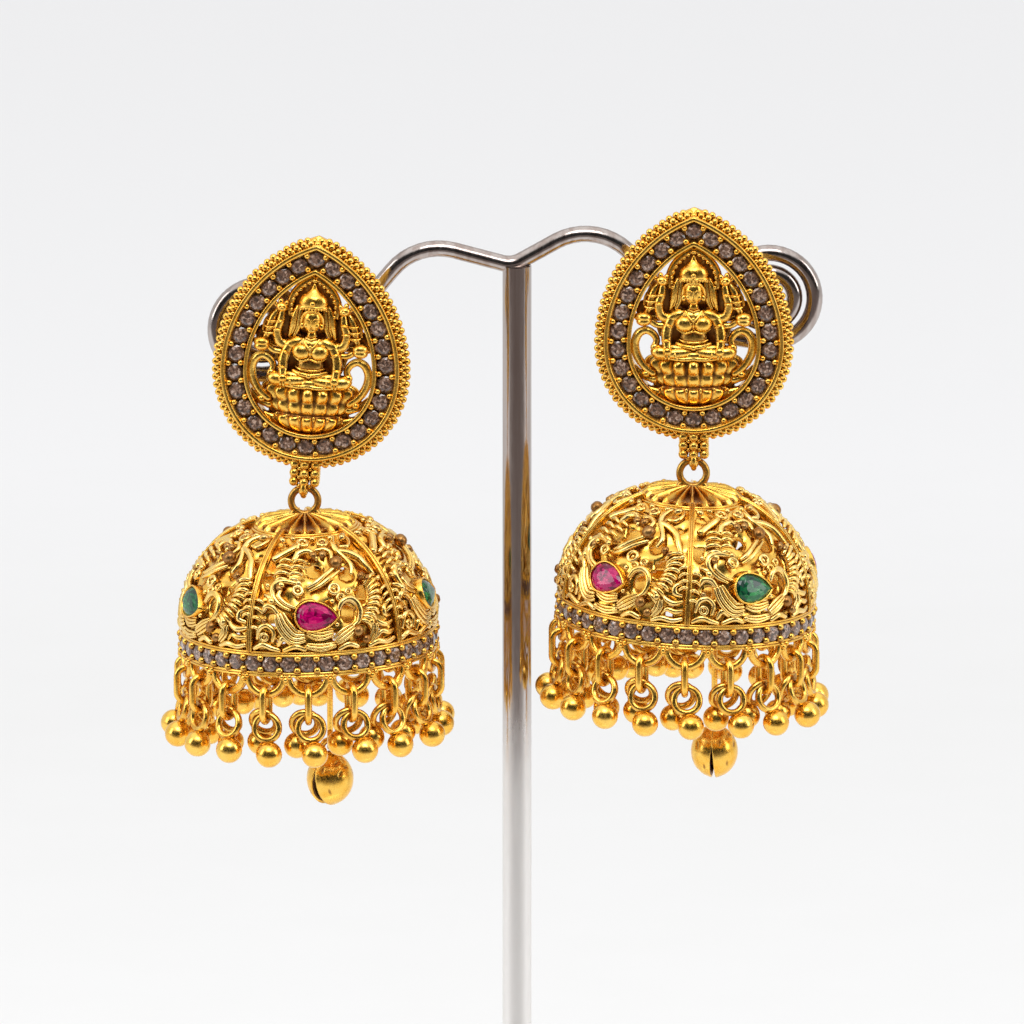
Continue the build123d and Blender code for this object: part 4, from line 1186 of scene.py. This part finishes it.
def build_wall(side):
    """The pierced wall that the relief stands on. A grid over each panel leaves out the cells in the
    openings, its points next to an opening are drawn onto the opening's edge, and the outer face,
    the inner face and the edges between them are closed into one skin. The outer face swells in
    gentle waves, a product of two sines, and sinks towards an opening's lip."""
    columns, rows, thick, sunk_in, drawn_in = 62, 56, 0.6, 0.3, 0.17
    share = np.linspace(-1, 1, columns)
    down = np.linspace(-0.05, 13.85, rows)[:, None]
    start = asin((CAP_RADIUS - BULGE_OFFSET) / BULGE_RADIUS)
    half = (BULGE_OFFSET + BULGE_RADIUS * np.sin(start + down / BULGE_RADIUS)) * pi / PANELS
    x = share * half
    down = down + 0 * x
    away, out = clear_of_openings(x, down)
    pull = np.where(np.abs(away) < drawn_in, -away, 0.0)
    x, down = x + pull * out[..., 0], down + pull * out[..., 1]
    away, _ = clear_of_openings(x, down)
    swell = 0.16 * np.sin(1.9 * x + 1.1 * down) * np.sin(1.6 * down - 0.8 * x)
    lip = np.exp(-np.clip(away, 0, 9) / 0.22)
    outer = xyz(x, -down, -sunk_in + swell - 0.22 * lip).reshape(-1, 3)
    inner = xyz(x, -down, -sunk_in - thick + 0.15 * lip).reshape(-1, 3)
    solid = away >= -0.02
    kept = solid[:-1, :-1] & solid[1:, :-1] & solid[:-1, 1:] & solid[1:, 1:]
    over = rows * columns
    index = np.arange(over).reshape(rows, columns)
    cells = np.stack([index[:-1, :-1], index[1:, :-1], index[1:, 1:], index[:-1, 1:]], -1)[kept]
    # An edge that only one cell has is on the skin's rim.
    edges = np.stack([cells, np.roll(cells, -1, 1)], -1).reshape(-1, 2)
    key = edges.min(1) * over + edges.max(1)
    _, first, seen = np.unique(key, return_index=True, return_counts=True)
    rim = edges[first[seen == 1]]
    sides = np.stack([rim[:, 1], rim[:, 0], rim[:, 0] + over, rim[:, 1] + over], -1)
    # The outer face is darkened next to an opening's lip: painted shade.
    age_and_shade = np.concatenate([0.2 * lip.ravel(), np.zeros(over)])
    work = Casting()
    for panel in range(PANELS):
        at = work.keep(on_panel(side, panel)(np.concatenate([outer, inner])), age_and_shade, 0.3)
        work.quads += [cells + at, cells[:, ::-1] + over + at, sides + at]
    work.piece(side.node("dome_wall"), side.drop_body, wall_gold())


def bench_line(knots, steps):
    """A line through knots of (across, down), with the directions along it and to its left."""
    line = curve(knots, steps) * (1, -1)
    along = unit(np.gradient(line, axis=0))
    return line, along, np.stack([-along[:, 1], along[:, 0]], -1)


def panel_relief():
    """One panel's relief on the bench, as (rings, whether it is a hoop, patina with painted shade):
    strands, bundles, ribs, scales, rings and granules. A wire is drawn a little wider than its table gives,
    and higher than wide."""
    # Wires are painted shaded on their lower half and bright on top.
    relief_shade = under(8, 0.75)
    for knots in STRANDS:
        line = curve(knots, 5)
        path = line[:, :3] * (1, -1, 0.8) - (0, 0, 0.08)
        yield tube(path, line[:, 3] * 1.2, line[:, 3] * 1.35, sides=8), False, relief_shade
    for knots, count, width in ROLLS:
        line, _, left = bench_line(knots, 5)
        taper = 0.55 + 0.45 * np.sin(np.linspace(0.35, pi - 0.35, len(line)))
        for share in (np.arange(count) + 0.5) / count - 0.5:
            shifted = line + left * (share * width * taper)[:, None]
            half = width / count * 0.5 * taper
            path = xyz(shifted[:, 0], shifted[:, 1], 0.42 - 0.9 * share**2)
            yield tube(path, half, half * 1.3, sides=8), False, relief_shade
    bow = np.linspace(-1, 1, 5)
    for knots, count, half, thick in RIB_ROWS:
        line, along, left = bench_line(knots, 12)
        for i in np.linspace(0, len(line) - 1, count).round().astype(int):
            flat = line[i] + left[i] * half * bow[:, None] + along[i] * (0.18 * bow**2)[:, None]
            path = xyz(flat[:, 0], flat[:, 1], 0.36 - 0.3 * bow**2)
            yield tube(path, thick * 1.15, thick * 1.6, sides=8), False, relief_shade
    bow = np.linspace(-0.9, 0.9, 7)
    for x, down, half, tall in SCALES:
        rise = tall * 0.6 * (1 - bow**2)
        full = tall * 0.62 * np.sqrt(1 - 0.8 * bow**2)
        path = xyz(x + half * bow, -down + rise, 0.1 + rise)
        # Scales are painted shaded on their lower half.
        yield tube(path, full, full * 1.2, sides=10), False, under(10, 0.75)
    for x, down, radius, wire in RINGS:
        path = circle(radius, (x, -down, 0.28), "xy", 16)
        yield tube(path, wire * 1.15, wire * 1.5, sides=8, loop=True), True, relief_shade
    x, down, radius, age_and_shade = np.array(BEADS).T
    # Granules are painted shaded at their foot, at least as dark as their patina.
    age_and_shade = np.maximum(sunk(7), age_and_shade[:, None])[..., None]
    yield balls(xyz(x, -down, 0.1 + radius * 0.5), radius[:, None], rings=7, points=12), False, age_and_shade
    x, down, radius, _ = np.array(RINGS).T
    yield balls(xyz(x, -down, 0.2), radius[:, None] * 0.42, rings=5, points=8), False, 0.0


def build_filigree(side):
    """The relief of the five panels, laid out flat and wrapped round the wall."""
    work = Casting()
    relief = list(panel_relief())
    for index in range(PANELS):
        place = on_panel(side, index)
        for rings, loop, age_and_shade in relief:
            work.add(rings, loop=loop, patina=age_and_shade, place=place)
    work.piece(side.node("filigree"), side.drop_body, relief_gold())


def gem_place(side, index):
    """Bench points (right, up, height) of a gem's seat, flat against the wall at its middle."""
    middle = radians(side.rib_angle + 360 / PANELS * (index + 0.5) + GEM_SHIFT)
    dip = radians(GEM_DIP)
    normal = np.array([sin(dip) * sin(middle), -sin(dip) * cos(middle), cos(dip)])
    right = np.array([cos(middle), sin(middle), 0.0])
    up = np.cross(normal, right)
    reach = BULGE_OFFSET + BULGE_RADIUS * sin(dip)
    origin = np.array([reach * sin(middle), -reach * cos(middle), BULGE_LEVEL + BULGE_RADIUS * cos(dip)])
    turn = radians(GEM_TURN)
    x_axis = right * cos(turn) + up * sin(turn)
    y_axis = up * cos(turn) - right * sin(turn)
    hang = in_dome(side)

    def place(p):
        return hang(origin + p[..., :1] * x_axis + p[..., 1:2] * y_axis + p[..., 2:] * normal)

    return place


def gem_rings(profile, count):
    """Teardrops lying on their side, their tips to the right, counter-clockwise: one for each
    (offset, height, turn in steps) of a profile."""
    stack = []
    for offset, height, turn in profile:
        x, y = teardrop(GEM_RADIUS, GEM_RISE, offset, (np.arange(count) + turn) / count)
        stack.append(xyz(y + GEM_SLIDE, -x, height)[::-1])
    return np.stack(stack)[None]


def build_gems(side):
    """Cut teardrop gems: rings of corners on ever smaller teardrops up to the flat table, the upper
    ones turned half a step."""
    cut = (
        (-0.15, -0.25, 0.0), (0.03, -0.1, 0.0), (0.03, 0.42, 0.0),
        (-0.28, 0.66, 0.5), (-0.6, 0.82, 0.0), (-0.95, 0.86, 0.5),
    )
    for index, slot in enumerate(side.gems):
        work = Casting(gem_place(side, index))
        work.add(gem_rings(cut, 16))
        node = side.node(f"gem_{index + 1}")
        work.piece(f"{node}_cut", side.drop_body, gem_material(slot), [node], slot, flat=True)


def build_bezels(side):
    """The thin collars that hold the gems, each on its plate."""
    collar = (
        (0.05, -0.7, 0), (0.36, -0.7, 0), (0.3, -0.2, 0), (0.25, 0.0, 0),
        (0.23, 0.5, 0), (0.18, 0.6, 0), (0.08, 0.58, 0), (0.04, 0.4, 0),
    )
    base = ((0.3, -0.75, 0), (0.4, -0.3, 0), (-0.2, -0.28, 0))
    work = Casting()
    for index in range(PANELS):
        place = gem_place(side, index)
        work.add(gem_rings(collar, 56), loop=True, place=place)
        work.add(gem_rings(base, 40), patina=0.5, place=place)
    work.piece(side.node("bezels"), side.drop_body)


def build_band(side):
    """The band under the openwork: two double-lined rims and the channel between them."""
    work = Casting(in_dome(side))
    r, top, low = BAND_RADIUS, BAND_TOP, BAND_LOW
    rim = (  # inset, rise, age, with painted shade in the grooves and where the rim turns in
        (0.3, 0.0, 0.3), (0.06, 0.03, 0), (0.0, 0.11, 0), (0.04, 0.19, 0), (0.12, 0.23, 0.7),
        (0.12, 0.27, 0.7), (0.04, 0.31, 0), (0.0, 0.39, 0), (0.06, 0.5, 0), (0.3, 0.56, 0.9),
        (0.46, 0.62, 1),
    )
    lower = [(r - inset, low + rise, old_and_shade) for inset, rise, old_and_shade in rim]
    upper = [(r - inset, top + 0.02 - rise, old_and_shade) for inset, rise, old_and_shade in reversed(rim)]
    inside = [(r - 0.7, top + 0.1, 0.2), (BAND_INNER, top, 0.2)]
    rows = np.array([(BAND_INNER, low, 0.2), *lower, *upper, *inside])
    work.add(lathe(rows[:, :2], 192), loop=True, patina=rows[:, 2])
    work.piece(side.node("band"), side.drop_body, frame_gold(), [side.node("dome")])


def build_band_stones(side):
    """The stones of the band and the pairs of prong beads between them."""
    radius = opts().stone_size / MM / 2
    stone_line, bead_line, bead_size, lift = 12.56, 12.78, 0.38, 0.58
    level = (BAND_TOP + BAND_LOW) / 2
    angle = np.radians(np.arange(BAND_STONES) * (360 / BAND_STONES))
    out = xyz(np.sin(angle), -np.cos(angle), 0.0)
    work = Casting(in_dome(side))
    work.add(cut_stones(out * stone_line + (0, 0, level), out, [0.0, 0, 1], radius * 1.05))
    work.piece(side.node("band_stones"), side.drop_body, pale_stone(), slot="pale_stone", flat=True)
    angle = angle + pi / BAND_STONES
    out = xyz(np.sin(angle), -np.cos(angle), 0.0)
    beads = Casting(in_dome(side))
    for rise in (-lift, lift):
        centres = out * bead_line + (0, 0, level + rise)
        jitter = beads.random.normal(0, 0.04, centres.shape)
        # Prong beads are painted shaded at their foot and bright on top.
        beads.add(balls(centres + jitter, bead_size, rings=7, points=12), patina=sunk(7))
    beads.piece(side.node("band_prongs"), side.drop_body)


def build_scallops(side):
    """The wire scallops under the band, bent round it, with granule trefoils where they meet. They
    are shaped in millimetres round the band and then given in degrees."""
    work = Casting(on_band(side))
    per_degree = SCALLOP_LINE * pi / 180
    to_degrees = (per_degree, 1, 1)
    for index in range(SCALLOPS):
        middle = SCALLOP_LINE * radians(index * 360 / SCALLOPS)
        path = circle(SCALLOP_RADIUS, (middle, SCALLOP_LEVEL, SCALLOP_LINE), "xy", 17, 180, 360)
        rings = tube(path, SCALLOP_WIRE * 1.12, sides=12, groove=0.2)
        work.add(rings / to_degrees, patina=0.12)
    joints = (np.arange(SCALLOPS) + 0.5) * 360 / SCALLOPS * per_degree
    trefoil = (  # across, level, distance from the axis, size
        (0, -16.72, 12.85, 0.3), (-0.38, -16.42, 12.85, 0.27),
        (0.38, -16.42, 12.85, 0.27), (0, -17.05, 12.6, 0.3),
    )
    for across, level, out, size in trefoil:
        shape = balls(xyz(joints + across, level, out), size, rings=6, points=10)
        work.add(shape / to_degrees)
    work.piece(side.node("scallops"), side.drop_body)


# ---- Ball drops and bell ----

def stadium(half, top, bottom, steps=12):
    """A link's centre line in the YZ plane: two half circles joined by straights."""
    a = np.linspace(0, pi, steps)
    y = np.concatenate([half * np.cos(a), -half * np.cos(a)])
    z = np.concatenate([top - half + half * np.sin(a), bottom + half - half * np.sin(a)])
    return xyz(0, y, z)


def build_ball_drops(side):
    """Eighteen drops: a long link on its scallop that carries two rings, each with its ball. The
    balls have faint dents, a product of three sine waves."""
    wire, ring_radius, ball_radius = 0.35, 1.27, 1.32
    seat_level, ring_level, ball_level, dent_depth = -18.35, -2.11, -3.96, 0.012
    for index in range(SCALLOPS):
        turn = 360 / SCALLOPS * index
        wave, other = sin(2.4 * index + 0.9), cos(3.7 * index)
        t = radians(turn)
        seat = in_dome(side)(np.array([SCALLOP_LINE * sin(t), -SCALLOP_LINE * cos(t), seat_level]))
        upright = about_z(turn)
        work = Casting(lambda p: p @ upright.T + seat, SEED + index)
        work.hoop(stadium(0.95, 0.76, -2.74), wire + 0.01, up=(1, 0, 0), sides=12)
        for out, along, lift in ((15, -13, 0.0), (-21, 13, 0.3)):
            swing = about_x(-out - 4 * wave) @ about_y(along + 4 * other)

            def hung(p):
                return (p @ swing.T + (0, 0, ring_level + lift)) @ upright.T + seat

            ring = circle(ring_radius, (0, 0, -ring_radius))
            work.hoop(ring, wire, up=(0, 1, 0), sides=12, place=hung, patina=0.25)
            shape = balls([(0, 0, 0)], ball_radius, rings=14, points=24)
            x, y, z = (shape[..., axis : axis + 1] for axis in range(3))
            dents = np.sin(x * 3 + index) * np.sin(y * 4 + out) * np.sin(z * 3)
            work.add(shape * (1 + dent_depth * dents) + (0, 0, ball_level), place=hung)
        node = side.node(f"ball_drop_{index + 1}")
        work.piece(f"{node}_cast", side.drop_body, bead_gold(), [node])


def bell_line(side):
    """Where the bell's eyes hang: across and level, from the pivot."""
    eye = np.array([HOOK_ACROSS, 0, HOOK_LEVEL - HOOK_RADIUS]) @ about_y(side.tilt).T
    return eye[0], eye[2]


def build_bell_link(side):
    """The hook under the cap and the long wire link that carries the bell."""
    work = Casting(in_dome(side))
    work.hoop(circle(HOOK_RADIUS, (HOOK_ACROSS, 0, HOOK_LEVEL)), 0.35, up=(0, 1, 0))
    work.piece(side.node("bell_hook"), side.drop_body)
    x, top = bell_line(side)
    link = Casting(lambda p: p + side.pivot)
    top -= 0.03
    wire, low = 0.3, -25.82
    for level in (top, low):
        link.hoop(circle(EYE_RADIUS, (x, 0, level), "yz"), wire, up=(1, 0, 0))
    link.add(tube([(x, 0, top - EYE_RADIUS), (x, 0, low + EYE_RADIUS)], wire, up=(1, 0, 0), sides=12))
    node = side.node("bell_link")
    link.piece(f"{node}_wire", side.drop_body, nodes=[node])


def build_bell(side):
    """The slit round bell. Each half is a stack of rings about the axis across the slit, which
    roll over a lip at the slit and go on as the inner wall. A ring is at a latitude from the pole
    down to the slit's edge, and short dashes are sunk in it."""
    x, _ = bell_line(side)
    bell_level, wide, tall, wall = -29.85, 2.35, 2.65, 0.32
    dash_half, dash_high, dash_depth = 0.16, 0.07, 0.03
    lip_rise, lip_share = 0.02, 0.08
    centre = side.pivot + (x, 0, bell_level)
    turn = about_z(side.bell_turn)
    work = Casting(lambda p: p @ turn.T + centre)
    around = np.linspace(0, 2 * pi, 72, endpoint=False)
    down = np.clip(0.35 - np.sin(around), 0, 1)
    gap = side.bell_gap * (0.35 + 0.65 * down) * np.clip(down * 3, 0, 1) ** 0.5 + 0.012
    edge = np.arcsin(np.clip(gap / wide, 0, 1))
    dashes = (  # angle round and latitude, in radians
        (0.9, 0.5), (1.9, 0.7), (2.6, 0.35), (0.4, 0.85), (1.4, 1.0), (2.3, 1.1), (-0.7, 0.6), (3.6, 0.7),
    )
    share = np.linspace(0.04, 1, 26)[:, None]
    outer = pi / 2 - (pi / 2 - edge) * share
    inner = pi / 2 - (pi / 2 - edge) * np.linspace(1, 0.1, 14)[:, None]
    for half in (-1, 1):
        swell = np.ones_like(outer)
        dash_shade = np.zeros_like(outer)
        for spot, height in dashes:
            away = ((np.angle(np.exp(1j * (around - spot * half))) * np.cos(outer)) / dash_half) ** 2
            dash = np.exp(-((away + ((outer - height) / dash_high) ** 2) ** 2))
            swell -= dash_depth * dash
            dash_shade += 0.8 * dash
        swell += lip_rise * np.exp(-(((share - 1) / lip_share) ** 2))
        size = np.concatenate([swell, np.full_like(inner, 1 - wall / wide)])
        # The sunk dashes and the inner wall are painted dark: painted shade.
        age_and_shade = np.concatenate([dash_shade, np.ones_like(inner)])[None] * 0.9
        latitude = np.concatenate([outer, inner])
        reach = np.cos(latitude) * size
        rings = xyz(half * wide * np.sin(latitude) * size, wide * reach * np.cos(around),
                    tall * reach * np.sin(around))[None]
        order = slice(None, None, -half)
        work.add(rings[:, :, order], patina=age_and_shade[:, :, order])
    eye = circle(EYE_RADIUS, (0, 0, 3.15))
    work.hoop(eye, 0.3, up=(0, 1, 0), place=lambda p: p + centre)
    work.add(balls([(0, 0, 2.5)], [(0.55, 0.55, 0.35)], points=16), patina=0.2)
    node = side.node("bell")
    work.piece(f"{node}_cast", side.drop_body, bead_gold(), [node])


# ---- Ear fittings and stand ----

def build_ear_post(side):
    """The ear post and the bar behind the stud that carries it, and the nut's finish."""
    work = Casting(in_stud(side))
    back, level = 0.5, 14.5
    work.add(tube([(0, back, level), (0, 8.5, level)], 0.45, up=(0, 0, 1), sides=20))
    work.add(tube([(-5.6, back, level), (5.6, back, level)], 0.42, up=(0, 1, 0), sides=12))
    work.piece(side.node("ear_post"), side.stand_body)
    refinish(side.node("ear_nut"), antique_gold())


def refinish(node, finish):
    """Give a CAD node's own mesh a material."""
    mesh = frame["nodes"][node].data
    mesh.materials.clear()
    mesh.materials.append(finish)


def build_stand():
    """Chrome for the foot, the post and the bent wire."""
    for node in ("stand_base", "stand_frame"):
        refinish(node, steel())


# ---- Stage ----

def build_floor(scene, o):
    """A pale floor that darkens towards the front, with a faint grain. The dark floor in front, out of
    view, is painted shade that the gold reflects.
    """
    near, far, wide = -1.5, 4.0, 3.0
    mesh = bpy.data.meshes.new("floor")
    corners = [(-wide, near, 0), (wide, near, 0), (wide, far, 0), (-wide, far, 0)]
    mesh.from_pydata(corners, [], [(0, 1, 2, 3)])
    paper, n = material("floor_paper", Roughness=0.7)
    split = n.add("ShaderNodeSeparateXYZ", {"Vector": n.coordinates}).outputs["Y"]
    grain = n.span(n.noise(n.coordinates, 60.0), 0.3, 0.7, 0.0, 0.12)
    share = n.plus(n.span(split, 0.30, 0.46), grain)
    back = n.mix(share, tuple(o.floor_near), tuple(o.floor_far))
    n.feed(n.shader.inputs["Base Color"], n.mix(n.span(split, -0.3, -0.12), tuple(o.floor_front), back))
    mesh.materials.append(paper)
    floor = bpy.data.objects.new("floor", mesh)
    scene.collection.objects.link(floor)
    floor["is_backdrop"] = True


def build_camera(scene):
    """A long lens in front of the stand and a little above it, level across."""
    sensor, view_wide, distance, rise = 36.0, 102.4, 3000.0, radians(13.0)
    target = np.array([-0.5, 0.0, 94.65])
    data = bpy.data.cameras.new("camera")
    data.sensor_width = sensor
    data.lens = sensor * distance / view_wide
    data.clip_start, data.clip_end = 0.1, 20.0
    camera = bpy.data.objects.new("camera", data)
    camera.location = (target + (0, -distance * cos(rise), distance * sin(rise))) * MM
    camera.rotation_euler = (pi / 2 - rise, 0, 0)
    scene.collection.objects.link(camera)
    scene.camera = camera


def build_lights(scene, o):
    """Three soft boxes: one overhead in front and one at each side."""
    soft_boxes = (  # name, place, width, height, watts
        ("top_softbox", (0.0, -0.42, 0.72), 0.42, 0.3, 2.0),
        ("left_softbox", (-0.6, -0.2, 0.35), 0.2, 0.45, 0.9),
        ("right_softbox", (0.6, -0.2, 0.35), 0.2, 0.45, 0.9),
    )
    aim = np.array((0, 0, 0.1))
    for name, place, width, height, power in soft_boxes:
        data = bpy.data.lights.new(name, "AREA")
        data.shape, data.size, data.size_y = "RECTANGLE", width, height
        data.energy = power * o.light_strength
        lamp = bpy.data.objects.new(name, data)
        lamp.location = place
        away = np.array(place) - aim
        tilt_down = atan2(sqrt(away[0] ** 2 + away[1] ** 2), away[2])
        lamp.rotation_euler = (tilt_down, 0, atan2(away[0], -away[1]))
        scene.collection.objects.link(lamp)


def build_world(scene, o):
    """A studio that is bright behind the stand and overhead, and dark in front, for contrast in the
    gold."""
    world = bpy.data.worlds.new("studio")
    world.use_nodes = True
    scene.world = world
    n = Nodes(world.node_tree)
    ground = world.node_tree.nodes["Background"]
    direction = n.add("ShaderNodeTexCoord").outputs["Generated"]
    axis = n.add("ShaderNodeSeparateXYZ", {"Vector": direction}).outputs
    front = n.times(axis["Y"], -1.0)
    open_front = n.span(front, 0.1, 0.7, 0.8, 0.04)
    overhead = n.span(axis["Z"], 0.45, 0.8, 0.0, 1.25)
    level = n.math("MAXIMUM", open_front, overhead)
    n.feed(ground.inputs["Color"], (1, 1, 1, 1))
    n.feed(ground.inputs["Strength"], n.times(level, o.light_strength))
    scene.view_settings.view_transform = "Standard"


def build_stage():
    """A pale floor, soft lights round it, and the camera, a little above and in front."""
    scene, o = bpy.context.scene, opts()
    build_floor(scene, o)
    build_camera(scene)
    build_lights(scene, o)
    build_world(scene, o)


# ---- Settings, steps and panel ----

def length_setting(name, description, default):
    return bpy.props.FloatProperty(
        name=name, description=description, default=default * MM, min=0.0, precision=5,
        unit="LENGTH", subtype="DISTANCE",
    )


def colour_setting(name, description, default):
    return bpy.props.FloatVectorProperty(
        name=name, description=description, default=(*default, 1.0), size=4, min=0.0, max=1.0,
        subtype="COLOR",
    )


class JhumkaSettings(bpy.types.PropertyGroup):
    """Sizes and colours of the earrings and the stage."""

    granule_size: length_setting("Granule size", "Diameter of the granules round the studs", 0.76)
    stone_size: length_setting("Stone size", "Diameter of the small round stones", 1.72)
    # The pale gold is a painted highlight on the openwork's relief.
    gold_pale: colour_setting("Pale gold", "Gold of the openwork's relief", (1.0, 0.77, 0.33))
    gold_bright: colour_setting("Bright gold", "Gold where it is worn bright", (1.0, 0.64, 0.14))
    gold_deep: colour_setting("Deep gold", "Gold where it is mellow", (0.94, 0.49, 0.06))
    # Colour of the patina and of the painted shade in the hollows and under parts.
    gold_old_and_shade: colour_setting("Old gold", "Patina and painted shade in the hollows", (0.3, 0.12, 0.035))
    # The dark and bright facet colours are painted reflections in the stones.
    stone_dark: colour_setting("Stone, dark facets", "Dark facets of the pale stones", (0.06, 0.035, 0.024))
    stone_body: colour_setting("Stone, body", "Body colour of the pale stones", (0.23, 0.125, 0.08))
    stone_light: colour_setting("Stone, bright facets", "Bright facets of the stones", (0.68, 0.49, 0.38))
    ruby: colour_setting("Ruby", "Body colour of the red gems", (0.5, 0.0, 0.12))
    emerald: colour_setting("Emerald", "Body colour of the green gems", (0.01, 0.125, 0.042))
    steel: colour_setting("Steel", "Polished steel of the stand", (0.88, 0.86, 0.84))
    steel_dull: colour_setting("Steel, dull", "Steel where it is marked", (0.86, 0.84, 0.82))
    # The brown is a painted reflection on the upper steel.
    steel_brown: colour_setting("Steel, brown", "Brown reflection painted on the steel", (0.36, 0.29, 0.26))
    floor_near: colour_setting("Floor, near", "Floor round the stand", (0.79, 0.79, 0.79))
    # The dark front floor is painted shade that the gold reflects.
    floor_front: colour_setting("Floor, front", "Floor in front, away from the stand", (0.16, 0.13, 0.12))
    floor_far: colour_setting("Floor, far", "Floor behind", (0.84, 0.84, 0.85))
    light_strength: bpy.props.FloatProperty(
        name="Light", description="Strength of all the lights", default=1.0, min=0.0, subtype="FACTOR"
    )


def each_side(*makers):
    """Make pieces once for each earring."""
    for side in SIDES:
        for make in makers:
            make(side)
    return {"FINISHED"}


class JHUMKA_OT_stage(bpy.types.Operator):
    """Lay the floor, set the lights and place the camera"""

    bl_idname = "jhumka.stage"
    bl_label = "Stage"

    def execute(self, context):
        build_stage()
        return {"FINISHED"}


class JHUMKA_OT_stand(bpy.types.Operator):
    """Finish the stand's foot, post and wire in chrome"""

    bl_idname = "jhumka.stand"
    bl_label = "Stand"

    def execute(self, context):
        build_stand()
        return {"FINISHED"}


class JHUMKA_OT_stud_frame(bpy.types.Operator):
    """Make the studs' stone channels, ridges and ledges"""

    bl_idname = "jhumka.stud_frame"
    bl_label = "Stud frames"

    def execute(self, context):
        return each_side(build_stud_frame)


class JHUMKA_OT_granules(bpy.types.Operator):
    """Set the granules round the studs"""

    bl_idname = "jhumka.granules"
    bl_label = "Stud granules"

    def execute(self, context):
        return each_side(build_granules)


class JHUMKA_OT_stud_stones(bpy.types.Operator):
    """Set the stones and prong beads in the studs"""

    bl_idname = "jhumka.stud_stones"
    bl_label = "Stud stones"

    def execute(self, context):
        return each_side(build_stud_stones)


class JHUMKA_OT_tab(bpy.types.Operator):
    """Make the granule tabs and the loops under the studs"""

    bl_idname = "jhumka.tab"
    bl_label = "Tabs"

    def execute(self, context):
        return each_side(build_tab)


class JHUMKA_OT_figure(bpy.types.Operator):
    """Make the seated figures on their lotuses"""

    bl_idname = "jhumka.figure"
    bl_label = "Figures"

    def execute(self, context):
        return each_side(build_figure)


class JHUMKA_OT_ear_post(bpy.types.Operator):
    """Make the ear posts and finish their nuts"""

    bl_idname = "jhumka.ear_post"
    bl_label = "Ear posts"

    def execute(self, context):
        return each_side(build_ear_post)


class JHUMKA_OT_cap(bpy.types.Operator):
    """Make the domes' fluted caps and rings"""

    bl_idname = "jhumka.cap"
    bl_label = "Caps"

    def execute(self, context):
        return each_side(build_cap)


class JHUMKA_OT_ribs(bpy.types.Operator):
    """Make the domes' ribs"""

    bl_idname = "jhumka.ribs"
    bl_label = "Ribs"

    def execute(self, context):
        return each_side(build_ribs)


class JHUMKA_OT_filigree(bpy.types.Operator):
    """Make the domes' openwork"""

    bl_idname = "jhumka.filigree"
    bl_label = "Openwork"

    def execute(self, context):
        return each_side(build_wall, build_filigree)


class JHUMKA_OT_gems(bpy.types.Operator):
    """Cut the gems and make their bezels"""

    bl_idname = "jhumka.gems"
    bl_label = "Gems"

    def execute(self, context):
        return each_side(build_gems, build_bezels)


class JHUMKA_OT_band(bpy.types.Operator):
    """Make the stone bands"""

    bl_idname = "jhumka.band"
    bl_label = "Bands"

    def execute(self, context):
        return each_side(build_band, build_band_stones)


class JHUMKA_OT_scallops(bpy.types.Operator):
    """Make the wire scallops under the bands"""

    bl_idname = "jhumka.scallops"
    bl_label = "Scallops"

    def execute(self, context):
        return each_side(build_scallops)


class JHUMKA_OT_ball_drops(bpy.types.Operator):
    """Make the ball drops"""

    bl_idname = "jhumka.ball_drops"
    bl_label = "Ball drops"

    def execute(self, context):
        return each_side(build_ball_drops)


class JHUMKA_OT_bell(bpy.types.Operator):
    """Make the bells and their links"""

    bl_idname = "jhumka.bell"
    bl_label = "Bells"

    def execute(self, context):
        return each_side(build_bell_link, build_bell)


STEPS = (
    JHUMKA_OT_stage, JHUMKA_OT_stand, JHUMKA_OT_stud_frame, JHUMKA_OT_granules, JHUMKA_OT_stud_stones,
    JHUMKA_OT_tab, JHUMKA_OT_figure, JHUMKA_OT_ear_post, JHUMKA_OT_cap, JHUMKA_OT_ribs,
    JHUMKA_OT_filigree, JHUMKA_OT_gems, JHUMKA_OT_band, JHUMKA_OT_scallops, JHUMKA_OT_ball_drops,
    JHUMKA_OT_bell,
)


class JHUMKA_PT_panel(bpy.types.Panel):
    """The settings and steps of the earrings"""

    bl_idname = "JHUMKA_PT_panel"
    bl_label = "Jhumka earrings"
    bl_space_type = "VIEW_3D"
    bl_region_type = "UI"
    bl_category = "Jhumka"

    def draw(self, context):
        for name in JhumkaSettings.__annotations__:
            self.layout.prop(context.scene.jhumka, name)
        for made in STEPS:
            self.layout.operator(made.bl_idname)


def register():
    for made in (JhumkaSettings, *STEPS, JHUMKA_PT_panel):
        bpy.utils.register_class(made)
    bpy.types.Scene.jhumka = bpy.props.PointerProperty(type=JhumkaSettings)


def unregister():
    del bpy.types.Scene.jhumka
    for made in (JHUMKA_PT_panel, *reversed(STEPS), JhumkaSettings):
        bpy.utils.unregister_class(made)


def main():
    register()
    for made in STEPS:
        group, name = made.bl_idname.split(".")
        if getattr(getattr(bpy.ops, group), name)() != {"FINISHED"}:
            raise RuntimeError(f"{made.bl_label} did not finish")
    bpy.context.view_layer.update()
    boxes = {"cad": cad_box, "visual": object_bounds()}
    {key: [[float(v) for v in corner] for corner in box] for key, box in boxes.items()}


if __name__ == "__main__":
    main()
